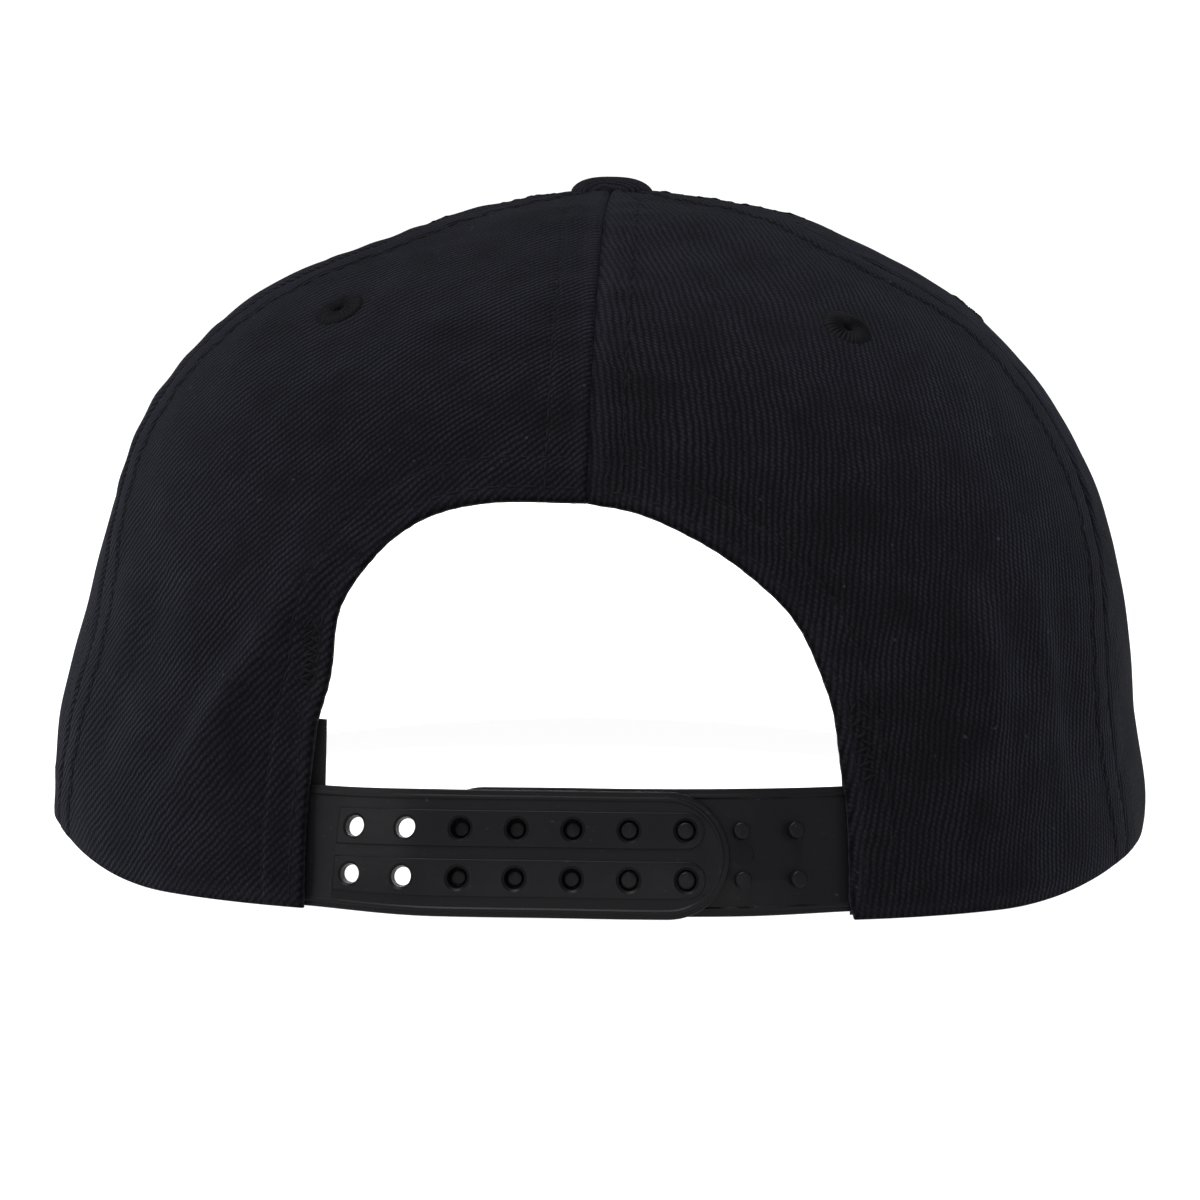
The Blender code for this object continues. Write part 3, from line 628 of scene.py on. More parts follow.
class Gore:
    """One gore of the crown: its seams, its cloth coordinates and its worked surface."""

    def __init__(self, index):
        self.index = index
        self.name = GORES[index]
        self.sewn_sides = ((SEAMS[index], 1), (SEAMS[index + 1], -1))
        self.low, self.high = np.radians(SEAMS[index]), np.radians(SEAMS[index + 1])
        self.middle = (self.low + self.high) / 2
        self.lengths = meridian(self.middle)
        self.at_rear = self.name.startswith("rear")
        self.side = 1 if self.middle > 0 else -1
        far = [crown_point(self.middle, row) for row in FINE_ROWS[-400:]]
        gaps = [math.hypot(x, y - AXIS_Y) for x, y, _ in far]
        self.last_row = FINE_ROWS[-400:][int(np.argmin(np.abs(np.array(gaps) - TOP_HOLE_RADIUS)))]
        self.length = np.interp(self.last_row, FINE_ROWS, self.lengths)

    def up(self, row):
        """Length of cloth from the rim up to a row, on the gore's middle."""
        return np.interp(row, FINE_ROWS, self.lengths)

    def seams_at(self, row):
        """Azimuths of the gore's two seams at each row."""
        return tuple(seam_azimuth(seam, row) for seam, _ in self.sewn_sides)

    def near_scale(self, row):
        """How much the distances from the seams shrink where the gore grows narrow."""
        low, high = self.seams_at(row)
        width = (high - low) * crown_reach(self.middle, row)[1]
        return np.minimum(1, width / (NARROW * NEAR_EDGE[-1]))

    def face(self, azimuth, row, on_edge=None):
        """Point, normal, rise, edge rounding, cloth coordinates, and wear with painted shade along the seams
        and edges, of the outer face.
        """
        height, reach = crown_reach(azimuth, row)
        point = crown_point(azimuth, row)
        normal = crown_normal(azimuth, row)
        up = self.up(row)
        scale = self.near_scale(row)
        low, high = self.seams_at(row)
        across_low = np.maximum((azimuth - low) * reach - SEAM_SLIT / 2, 0)
        across_high = np.maximum((high - azimuth) * reach - SEAM_SLIT / 2, 0)
        above_rim = height * (CROWN_HEIGHT - rim_height(azimuth))
        to_edge = np.minimum(np.minimum(across_low, across_high), np.minimum(above_rim, self.length - up))
        rise = 0.0
        for (seam, side), across in zip(self.sewn_sides, (across_low, across_high)):
            groove = ROW_GROOVE if abs(seam) < 1 else SIDE_ROW_GROOVE
            phase = 0.4 + self.index + side
            rise = rise + sewn_rise(across / scale, [seam_row(seam, side)], up, phase, groove)
        if self.at_rear:
            arch = arch_distance(point)
            foot = point[..., 2] + np.abs(point[..., 0]) * 0.4
            arch_rise = sewn_rise(arch, [HEM_INNER_ROW, HEM_OUTER_ROW], foot, 1.0)
            beside_arch = 1 - ease(arch, HEM_OUTER_ROW - MM, HEM_OUTER_ROW + 2 * MM)
            rise = rise * (1 - beside_arch) + arch_rise
            to_edge = np.minimum(to_edge, arch)
        if on_edge is not None:
            to_edge = np.where(on_edge, 0, to_edge)
        x_cloth = (azimuth - self.middle) * reach
        rise = rise + ripple(x_cloth, up, self.index) + crease_rise(azimuth, height, reach)
        rise = rise * ease(to_edge, 0, MM)
        turn = GRAIN_TURN_RIGHT if self.side > 0 else 0.0
        cloth = np.stack([x_cloth * math.cos(turn) + up * math.sin(turn),
                          up * math.cos(turn) - x_cloth * math.sin(turn),
                          np.full_like(up, self.index)], axis=-1)
        # Painted shade: the colour is darkened along the seams and the cloth's edges, less near the top and
        # at the side seams; a lighter rubbed band of wear lies beside it
        crisp = 1 - TOP_SEAM_FADE * ease(height, 0.925, 0.965)
        side_gap = np.minimum(across_low if abs(SEAMS[self.index]) > 1 else np.inf,
                              across_high if abs(SEAMS[self.index + 1]) > 1 else np.inf)
        flat = np.exp(-((side_gap / (2 * MM)) ** 2))
        painted_seam_shade = crisp * (1 - SIDE_SEAM_FADE * flat) * np.exp(-((to_edge / SEAM_SHADE_WIDTH) ** 2))
        wear = RUBBED * np.exp(-((to_edge - 1.5 * MM) / MM) ** 2) - painted_seam_shade
        roll = edge_roll(to_edge, EDGE_ROUND + (SIDE_EDGE_ROUND - EDGE_ROUND) * flat)
        return point, normal, rise, roll, cloth, wear

    def grid(self):
        """Azimuths and rows of the gore's grid."""
        step = settings_of("cloth").cloth_grid
        count = int((self.length - NEAR_RIM[-1]) / step)
        ups = np.concatenate([NEAR_RIM, np.linspace(NEAR_RIM[-1], self.length, count + 1)[1:]])
        rows = np.interp(ups, self.lengths, FINE_ROWS)
        if not self.at_rear:
            reach = crown_reach(self.middle, rows)[1]
            low, high = self.seams_at(rows)
            width = (high - low) * reach - SEAM_SLIT
            middle_steps = int((width.max() - 2 * NEAR_EDGE[-1]) / (SIDE_GRID_STRETCH * step))
            across = spread(width, NEAR_EDGE, middle_steps)
            azimuth = low[:, None] + (across + SEAM_SLIT / 2) / reach[:, None]
            return azimuth, np.broadcast_to(rows[:, None], azimuth.shape)
        return self.rear_grid(rows, step)

    def rear_grid(self, rows, step):
        """The grid of a rear gore, whose inner side follows the opening and then the rear seam."""
        edge_azimuth, edge_row = on_crown(arch_path(self.side))
        seam_rows = np.linspace(edge_row[-1], self.last_row, 600)[1:]
        path_azimuth = np.concatenate([edge_azimuth, np.zeros(len(seam_rows))])
        path_row = np.concatenate([edge_row, seam_rows])
        lengths = path_lengths(crown_point(path_azimuth, path_row))
        shares = self.up(rows) / self.length
        corner = lengths[len(edge_row) - 1] / lengths[-1]
        nearest = int(np.argmin(np.abs(shares - corner)))
        shares = np.interp(shares, [0, shares[nearest], 1], [0, corner, 1])
        inner_azimuth = np.interp(shares * lengths[-1], lengths, path_azimuth)
        inner_row = np.interp(shares * lengths[-1], lengths, path_row)
        inner_azimuth = np.where(shares > corner + 1e-9,
                                 self.side * SEAM_SLIT / 2 / crown_reach(0.0, inner_row)[1], inner_azimuth)
        outer_seam = self.seams_at(rows)[1 if self.side > 0 else 0]
        outer_azimuth = outer_seam - self.side * SEAM_SLIT / 2 / crown_reach(outer_seam, rows)[1]
        reach = (crown_reach(inner_azimuth, inner_row)[1] + crown_reach(outer_azimuth, rows)[1]) / 2
        width = np.abs(outer_azimuth - inner_azimuth) * reach
        middle_steps = int((width.max() - 2 * NEAR_EDGE[-1]) / (REAR_GRID_STRETCH * step))
        share = spread(width, NEAR_EDGE, middle_steps) / width[:, None]
        azimuth = inner_azimuth[:, None] + (outer_azimuth - inner_azimuth)[:, None] * share
        row = inner_row[:, None] + (rows - inner_row)[:, None] * share
        if self.side < 0:
            azimuth, row = azimuth[:, ::-1], row[:, ::-1]
        return azimuth, row


def spread(width, near_edge, middle_steps):
    """Distances across each row: close together at both edges and even between them."""
    scale = np.minimum(1, width / (NARROW * near_edge[-1]))[:, None]
    first = near_edge * scale
    last = width[:, None] - near_edge[::-1] * scale
    share = np.linspace(0, 1, middle_steps + 1)[1:-1]
    middle = first[:, -1:] + (last[:, :1] - first[:, -1:]) * share
    return np.concatenate([first, middle, last], axis=1)


# Modelling helpers

def deselect():
    if bpy.context.object is not None and bpy.context.object.mode != "OBJECT":
        bpy.ops.object.mode_set(mode="OBJECT")
    bpy.ops.object.select_all(action="DESELECT")


def named(name):
    """Name the active object and its mesh."""
    made = bpy.context.object
    made.name = name
    made.data.name = name
    return made


def activate(*pieces):
    """Select these pieces alone; the first is active."""
    deselect()
    for piece in pieces:
        piece.select_set(True)
    bpy.context.view_layer.objects.active = pieces[0]


def settle(piece):
    """Put the piece's place into its mesh and its object at the origin."""
    activate(piece)
    bpy.ops.object.transform_apply(location=True, rotation=True, scale=True)
    return piece


def join(name, pieces):
    """Join several pieces into one."""
    activate(*pieces)
    if len(pieces) > 1:
        bpy.ops.object.join()
    return named(name)


def edit(piece):
    """Open a piece in edit mode with all of it selected."""
    activate(piece)
    bpy.ops.object.mode_set(mode="EDIT")
    bpy.ops.mesh.select_all(action="SELECT")


def done():
    bpy.ops.object.mode_set(mode="OBJECT")


def pick(piece, kind, test):
    """Select the edges or faces of the edited piece that pass the test."""
    bpy.ops.mesh.select_mode(type=kind)
    bpy.ops.mesh.select_all(action="DESELECT")
    body = bmesh.from_edit_mesh(piece.data)
    for item in (body.edges if kind == "EDGE" else body.faces):
        if test(item):
            item.select_set(True)
    bmesh.update_edit_mesh(piece.data)


def apply_modifier(piece, kind, **values):
    """Add a modifier to a piece and apply it."""
    activate(piece)
    modifier = piece.modifiers.new("step", kind)
    for key, value in values.items():
        setattr(modifier, key, value)
    bpy.ops.object.modifier_apply(modifier=modifier.name)


def combine(piece, tool, operation):
    """Join a tool to a piece or cut it out, and remove the tool."""
    apply_modifier(piece, "BOOLEAN", operation=operation, solver="EXACT", object=tool)
    bpy.data.objects.remove(tool)


def points_of(piece):
    flat = np.empty(len(piece.data.vertices) * 3)
    piece.data.vertices.foreach_get("co", flat)
    return flat.reshape(-1, 3)


def set_points(piece, points):
    piece.data.vertices.foreach_set("co", np.asarray(points, dtype=float).ravel())
    piece.data.update()


def placing(x_axis, y_axis, z_axis, place):
    """Placing matrix from its axes and its place."""
    made = Matrix.Identity(4)
    for column, vector in enumerate((x_axis, y_axis, z_axis, place)):
        for line in range(3):
            made[line][column] = vector[line]
    return made


def set_attribute(piece, name, kind, values):
    layer = piece.data.attributes.new(name, kind, "POINT")
    key = "vector" if kind == "FLOAT_VECTOR" else "value"
    layer.data.foreach_set(key, np.asarray(values, dtype=float).ravel())


def place_piece(piece, slot, *nodes):
    """Let the piece ride on the cap and stand for its nodes; its slot is not used."""
    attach(piece, "root")
    if nodes:
        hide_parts(*nodes)


def dress(piece, look, slot, *nodes):
    """Give a smooth piece its finish and place it."""
    piece.data.materials.append(finish(look))
    piece.data.shade_smooth()
    place_piece(piece, slot, *nodes)


def grid_sheet(name, rows, columns):
    """A flat grid, with the row and column index of each of its points."""
    deselect()
    bpy.ops.mesh.primitive_grid_add(x_subdivisions=columns - 1, y_subdivisions=rows - 1, size=1)
    sheet = named(name)
    flat = points_of(sheet)
    column = np.rint((flat[:, 0] + 0.5) * (columns - 1)).astype(int)
    row = np.rint((flat[:, 1] + 0.5) * (rows - 1)).astype(int)
    return sheet, row, column


def shell(name, outer, inner, cloth, wear, materials):
    """A closed piece of cloth between two grids of points that meet at their edges."""
    rows, columns = outer.shape[:2]
    sheets = []
    for number, points in enumerate((outer, inner)):
        sheet, row, column = grid_sheet(name, rows, columns)
        set_points(sheet, points[row, column])
        set_attribute(sheet, "cloth", "FLOAT_VECTOR", cloth[row, column])
        set_attribute(sheet, "wear", "FLOAT", wear[row, column])
        for look in materials:
            sheet.data.materials.append(look)
        if number == 1:
            sheet.data.flip_normals()
            for face in sheet.data.polygons:
                face.material_index = len(materials) - 1
        sheets.append(sheet)
    piece = join(name, sheets)
    edit(piece)
    bpy.ops.mesh.remove_doubles(threshold=0.004 * MM)
    bpy.ops.mesh.normals_make_consistent(inside=False)
    done()
    piece.data.shade_smooth()
    return piece


def copies(name, template, frames):
    """One piece made of a copy of the template at each frame."""
    body = bmesh.new()
    for frame_matrix in frames:
        before = len(body.verts)
        body.from_mesh(template.data)
        body.verts.ensure_lookup_table()
        bmesh.ops.transform(body, matrix=frame_matrix, verts=body.verts[before:])
    mesh = bpy.data.meshes.new(name)
    body.to_mesh(mesh)
    body.free()
    for look in template.data.materials:
        mesh.materials.append(look)
    piece = bpy.data.objects.new(name, mesh)
    bpy.context.scene.collection.objects.link(piece)
    bpy.data.objects.remove(template)
    piece.data.shade_smooth()
    return piece


# Finishes

class Nodes:
    """A new material and short calls that add its nodes."""

    def __init__(self, name):
        self.material = bpy.data.materials.new(name)
        self.material.use_nodes = True
        self.tree = self.material.node_tree
        self.shader = self.tree.nodes["Principled BSDF"]

    def link(self, source, target):
        self.tree.links.new(source, target)

    def add(self, kind, **values):
        node = self.tree.nodes.new(kind)
        for key, value in values.items():
            setattr(node, key, value)
        return node

    def attribute(self, name):
        return self.add("ShaderNodeAttribute", attribute_name=name)

    def maths(self, operation, first, second=None, third=None):
        node = self.add("ShaderNodeMath", operation=operation)
        for socket, value in zip(node.inputs, (first, second, third)):
            if value is None:
                continue
            if isinstance(value, (int, float)):
                socket.default_value = value
            else:
                self.link(value, socket)
        return node.outputs[0]

    def noise(self, vector, scale, detail=2.0, roughness=0.5):
        node = self.add("ShaderNodeTexNoise")
        node.inputs["Scale"].default_value = scale
        node.inputs["Detail"].default_value = detail
        node.inputs["Roughness"].default_value = roughness
        self.link(vector, node.inputs["Vector"])
        return node.outputs["Fac"]

    def spread(self, value, low, high, to_low=0.0, to_high=1.0):
        node = self.add("ShaderNodeMapRange")
        for name, number in (("From Min", low), ("From Max", high), ("To Min", to_low), ("To Max", to_high)):
            node.inputs[name].default_value = number
        self.link(value, node.inputs["Value"])
        return node.outputs["Result"]

    def blend(self, share, first, second):
        node = self.add("ShaderNodeMix", data_type="RGBA")
        sockets = [socket for socket in node.inputs if socket.type == "RGBA"]
        self.link(share, node.inputs[0])
        for socket, value in zip(sockets, (first, second)):
            if isinstance(value, tuple):
                socket.default_value = (*value, 1.0)
            else:
                self.link(value, socket)
        return [socket for socket in node.outputs if socket.type == "RGBA"][0]

    def bump(self, height, distance):
        node = self.add("ShaderNodeBump")
        node.inputs["Strength"].default_value = 1.0
        node.inputs["Distance"].default_value = distance
        self.link(height, node.inputs["Height"])
        self.link(node.outputs["Normal"], self.shader.inputs["Normal"])

    def place(self):
        return self.add("ShaderNodeTexCoord").outputs["Object"]

    def wave(self, phase):
        """A sine from 0 to 1."""
        return self.maths("MULTIPLY_ADD", self.maths("SINE", phase), 0.5, 0.5)

    def colour(self, source):
        self.link(source, self.shader.inputs["Base Color"])

    def roughness(self, value, low, high, to_low, to_high):
        self.link(self.spread(value, low, high, to_low, to_high), self.shader.inputs["Roughness"])

    def set(self, **values):
        for key, value in values.items():
            self.shader.inputs[key.replace("_", " ")].default_value = value


def shade(colour, factor):
    return tuple(min(1.0, channel * factor) for channel in colour)


# Scale of a noise and how far it leads the twill's ribs aside, in rib pitches
RIB_WANDER = ((620.0, 0.45), (230.0, 0.75), (45.0, 2.6))
FLOAT_LENGTH = 0.8
LINT_COLOUR = (0.030, 0.031, 0.036)
DUST_COLOUR = (0.05, 0.05, 0.055)
FACING_COLOUR = (0.0028, 0.0028, 0.0036)


def twill_finish(name, depth=0.28 * MM, crest=1.9, groove=0.20):
    """Black cotton twill: slanting ribs of short floats, fuzz, lint, slightly rubbed edges, and painted shade
    along seams and edges.

    Crest and groove scale the colour of the ribs' crests and of the grooves between them: a painted highlight
    on the crests, painted shade in the grooves.
    """
    settings = settings_of("cloth")
    nodes = Nodes(name)
    cloth = nodes.attribute("cloth").outputs["Vector"]
    turn = nodes.add("ShaderNodeMapping")
    turn.inputs["Rotation"].default_value = (0, 0, settings.twill_angle)
    nodes.link(cloth, turn.inputs["Vector"])
    split = nodes.add("ShaderNodeSeparateXYZ")
    nodes.link(turn.outputs["Vector"], split.inputs["Vector"])
    across, along = split.outputs["X"], split.outputs["Y"]
    pitch = settings.twill_pitch
    for scale, reach in RIB_WANDER:
        swing = nodes.maths("SUBTRACT", nodes.noise(cloth, scale, 1.0), 0.5)
        across = nodes.maths("ADD", across, nodes.maths("MULTIPLY", swing, reach * pitch))
    phase = nodes.maths("MULTIPLY", across, 2 * math.pi / pitch)
    rib = nodes.wave(phase)
    float_phase = nodes.maths("MULTIPLY_ADD", along, 2 * math.pi / (FLOAT_LENGTH * pitch),
                              nodes.maths("MULTIPLY", phase, 0.55))
    floats = nodes.wave(float_phase)
    fuzz = nodes.noise(cloth, 2600.0, 4.0, 0.85)
    rubbed = nodes.spread(nodes.noise(cloth, 130.0, 2.0, 0.6), 0.35, 0.68, 0.45, 0.95)
    height = nodes.maths("MULTIPLY", rib, nodes.maths("MULTIPLY_ADD", floats, 0.5, 0.5))
    height = nodes.maths("MULTIPLY_ADD", fuzz, 0.75, nodes.maths("MULTIPLY", height, rubbed))
    patches = nodes.spread(nodes.noise(cloth, 60.0, 3.0, 0.6), 0.3, 0.7, 0.84, 1.16)
    specks = nodes.spread(nodes.noise(cloth, 2400.0, 3.0, 0.9), 0.3, 0.7, 0.45, 1.6)
    patches = nodes.maths("MULTIPLY", patches, specks)
    # The cloth's wear attribute lightens rubbed bands beside the edges and darkens the seams and edges
    # themselves with painted shade
    worn_and_shaded = nodes.maths("MULTIPLY", nodes.attribute("wear").outputs["Fac"], 0.35)
    # Painted light on the ribs: the crests take a lighter colour as a painted highlight, the grooves a darker
    # one as painted shade
    painted_rib_light = nodes.maths("ADD", nodes.spread(height, 0.25, 1.15), worn_and_shaded)
    groove_shade_colour, crest_highlight_colour = (shade(settings.twill_colour, factor) for factor in (groove, crest))
    colour = nodes.blend(painted_rib_light, groove_shade_colour, crest_highlight_colour)
    shaded = nodes.add("ShaderNodeVectorMath", operation="SCALE")
    nodes.link(colour, shaded.inputs[0])
    nodes.link(patches, shaded.inputs["Scale"])
    lint = nodes.spread(nodes.noise(cloth, 700.0, 1.0, 0.4), 0.735, 0.80)
    lint = nodes.maths("MULTIPLY", lint, nodes.spread(nodes.noise(cloth, 90.0), 0.45, 0.65, 0.05, 0.75))
    nodes.colour(nodes.blend(lint, shaded.outputs["Vector"], LINT_COLOUR))
    nodes.roughness(height, 0.0, 1.0, 0.98, 0.8)
    nodes.set(Specular_IOR_Level=0.04, Sheen_Weight=0.032, Sheen_Roughness=0.35,
              Sheen_Tint=(0.66, 0.72, 1.0, 1.0))
    nodes.bump(height, depth)
    return nodes.material


def plain_cloth_finish(name, colour, pitch, depth, sheen=0.1):
    """Plain-woven cloth in one colour, with threads over and under each other."""
    nodes = Nodes(name)
    cloth = nodes.attribute("cloth").outputs["Vector"]
    split = nodes.add("ShaderNodeSeparateXYZ")
    nodes.link(cloth, split.inputs["Vector"])
    first = nodes.maths("SINE", nodes.maths("MULTIPLY", split.outputs["X"], 2 * math.pi / pitch))
    second = nodes.maths("SINE", nodes.maths("MULTIPLY", split.outputs["Y"], 2 * math.pi / pitch))
    weave = nodes.maths("MULTIPLY_ADD", nodes.maths("MULTIPLY", first, second), 0.5, 0.5)
    fuzz = nodes.noise(cloth, 1800.0, 3.0, 0.6)
    height = nodes.maths("MULTIPLY_ADD", fuzz, 0.5, nodes.maths("MULTIPLY", weave, 0.6))
    patches = nodes.noise(cloth, 70.0, 3.0, 0.6)
    # Painted light on the weave: the colour follows random patches and the weave's height, lighter on raised
    # threads as a painted highlight and darker in the hollows as painted shade
    share = nodes.maths("MULTIPLY_ADD", patches, 0.5, nodes.maths("MULTIPLY", height, 0.5))
    nodes.colour(nodes.blend(share, shade(colour, 0.86), shade(colour, 1.08)))
    nodes.roughness(height, 0.0, 1.0, 0.95, 0.8)
    nodes.set(Specular_IOR_Level=0.2, Sheen_Weight=sheen, Sheen_Roughness=0.5)
    nodes.bump(height, depth)
    return nodes.material


def thread_finish(name, colour):
    """Twisted sewing thread with a soft shine."""
    nodes = Nodes(name)
    place = nodes.place()
    fibres = nodes.noise(place, 3200.0, 3.0, 0.65)
    tone = nodes.noise(place, 120.0, 2.0)
    share = nodes.maths("MULTIPLY_ADD", fibres, 0.6, nodes.maths("MULTIPLY", tone, 0.4))
    nodes.colour(nodes.blend(share, shade(colour, 0.5), shade(colour, 1.5)))
    nodes.roughness(fibres, 0.2, 0.8, 0.5, 0.75)
    nodes.set(Specular_IOR_Level=0.05, Sheen_Weight=0.012, Sheen_Roughness=0.4)
    nodes.bump(fibres, 0.12 * MM)
    return nodes.material


def moulded_finish(name, colour):
    """Satin moulded plastic with faint flow streaks, dust and fine scuffs."""
    nodes = Nodes(name)
    place = nodes.place()
    stretch = nodes.add("ShaderNodeMapping")
    stretch.inputs["Scale"].default_value = (0.18, 1.0, 1.0)
    nodes.link(place, stretch.inputs["Vector"])
    streaks = nodes.noise(stretch.outputs["Vector"], 900.0, 4.0, 0.6)
    clouds = nodes.noise(place, 80.0, 3.0, 0.55)
    grain = nodes.noise(place, 3800.0, 2.0, 0.5)
    share = nodes.maths("MULTIPLY_ADD", streaks, 0.35, nodes.maths("MULTIPLY", clouds, 0.65))
    colour_out = nodes.blend(share, shade(colour, 0.72), shade(colour, 1.3))
    dust = nodes.spread(nodes.noise(place, 1500.0, 1.0, 0.3), 0.75, 0.80, 0.0, 0.2)
    nodes.colour(nodes.blend(dust, colour_out, DUST_COLOUR))
    nodes.roughness(share, 0.3, 0.7, 0.46, 0.34)
    nodes.set(Specular_IOR_Level=0.08)
    height = nodes.maths("MULTIPLY_ADD", grain, 0.4, nodes.maths("MULTIPLY", streaks, 0.6))
    nodes.bump(height, 0.03 * MM)
    return nodes.material


def floor_finish(name, colour):
    """A pale matt table that is lit from below."""
    nodes = Nodes(name)
    place = nodes.place()
    tone = nodes.noise(place, 3.0, 2.0)
    nodes.colour(nodes.blend(tone, shade(colour, 0.98), shade(colour, 1.02)))
    nodes.set(Roughness=0.9, Specular_IOR_Level=0.05, Emission_Color=(1.0, 1.0, 1.0, 1.0),
              Emission_Strength=settings_of("studio").table_glow)
    return nodes.material


FINISHES = {}


def finish(name):
    """The finish of that name, made once."""
    if name not in FINISHES:
        cloth, sewing = settings_of("cloth"), settings_of("sewing")
        rules = {
            "black_twill": lambda: twill_finish(name),
            "twill_wrong_side": lambda: twill_finish(name, 0.12 * MM, 1.2, 0.6),
            "pale_backing": lambda: plain_cloth_finish(name, cloth.backing_colour, 0.9 * MM, 0.06 * MM),
            "pale_cotton": lambda: plain_cloth_finish(name, cloth.backing_colour, 0.7 * MM, 0.08 * MM),
            "black_cotton": lambda: plain_cloth_finish(name, FACING_COLOUR, 0.6 * MM, 0.06 * MM, 0.02),
            "seam_tape": lambda: plain_cloth_finish(name, cloth.tape_colour, 0.8 * MM, 0.08 * MM),
            "black_thread": lambda: thread_finish(name, sewing.thread_colour),
            "moulded_plastic": lambda: moulded_finish(name, settings_of("strap").strap_colour),
            "backdrop_paper": lambda: floor_finish(name, settings_of("studio").floor_colour),
        }
        FINISHES[name] = rules[name]()
    return FINISHES[name]


# Stitches

STITCH_SINK = 0.30 * MM
STITCH_LIFT = 0.06 * MM
TACK_LIFT = 0.15 * MM
TACK_TURNS = 12


def stitch_template():
    """One stitch along X: a bead of thread whose ends go down into the cloth."""
    settings = settings_of("sewing")
    deselect()
    bpy.ops.mesh.primitive_uv_sphere_add(segments=6, ring_count=6, radius=1)
    stitch = named("stitch")
    points = points_of(stitch)[:, (2, 1, 0)]
    x = np.sign(points[:, 0]) * np.abs(points[:, 0]) ** 0.8
    points = np.stack([x * settings.stitch_length / 2,
                       points[:, 1] * settings.thread_radius,
                       points[:, 2] * settings.thread_radius - STITCH_SINK * x**2], axis=-1)
    set_points(stitch, points)
    edit(stitch)
    bpy.ops.mesh.normals_make_consistent(inside=False)
    done()
    stitch.data.materials.append(finish("black_thread"))
    return stitch


def stitch_frames(points, normals, lift, start=0.0, pitch=None):
    """Frames of the stitches along a path."""
    pitch = pitch or settings_of("sewing").stitch_pitch
    lengths = path_lengths(points)
    middles = np.arange(start + pitch / 2, lengths[-1] - pitch / 2, pitch)
    half = pitch * 0.3
    frames = []
    for middle in middles:
        places = ((middle, points), (middle - half, points), (middle + half, points), (middle, normals))
        centre, behind, ahead, normal = (
            np.array([np.interp(at, lengths, values[:, axis]) for axis in range(3)]) for at, values in places)
        along = ahead - behind
        along /= np.linalg.norm(along)
        side = np.cross(normal, along)
        side /= np.linalg.norm(side)
        up = np.cross(along, side)
        frames.append(placing(along, side, up, centre + up * lift))
    return frames


def worked_line(gore, azimuth, row):
    """Points and normals along a line on a gore's worked face."""
    point, normal, rise = gore.face(azimuth, row)[:3]
    return point + normal * rise[..., None], normal


class CAP_OT_crown(Operator):
    """Six gores of twill with turned seams, a hemmed rear opening, soft folds and pale backing"""
    bl_idname = "cap.crown"
    bl_label = "Crown"

    def execute(self, context):
        for index in range(len(GORES)):
            gore = Gore(index)
            azimuth, row = gore.grid()
            point, normal, rise, roll, cloth, wear = gore.face(azimuth, row, border(azimuth.shape))
            outer = point + normal * (rise - roll)[..., None]
            inner = point + normal * (roll - CLOTH)[..., None]
            inside = "pale_backing" if gore.name.startswith("front") else "twill_wrong_side"
            looks = (finish("black_twill"), finish(inside))
            piece = shell(gore.name + "_cloth", outer, inner, cloth, wear, looks)
            self.pierce(piece, gore)
            place_piece(piece, "twill", gore.name)
        return {"FINISHED"}

    def pierce(self, piece, gore):
        """Punch the eyelet's hole through the gore."""
        for name, azimuth, share in EYELETS:
            azimuth = math.radians(azimuth)
            if not gore.low < azimuth < gore.high:
                continue
            deselect()
            bpy.ops.mesh.primitive_cylinder_add(vertices=20, radius=EYELET_PUNCH, depth=3 * CLOTH)
            punch = named("punch")
            punch.matrix_world = eyelet_frame(azimuth, share)
            combine(piece, settle(punch), "DIFFERENCE")
            piece.data.shade_smooth()


def eyelet_frame(azimuth, share):
    """Placing matrix of an eyelet: Z along the cloth's outward direction."""
    row = float(row_at(share))
    point = Vector(crown_point(azimuth, row))
    normal = Vector(crown_normal(azimuth, row))
    return Matrix.Translation(point) @ normal.to_track_quat("Z", "Y").to_matrix().to_4x4()


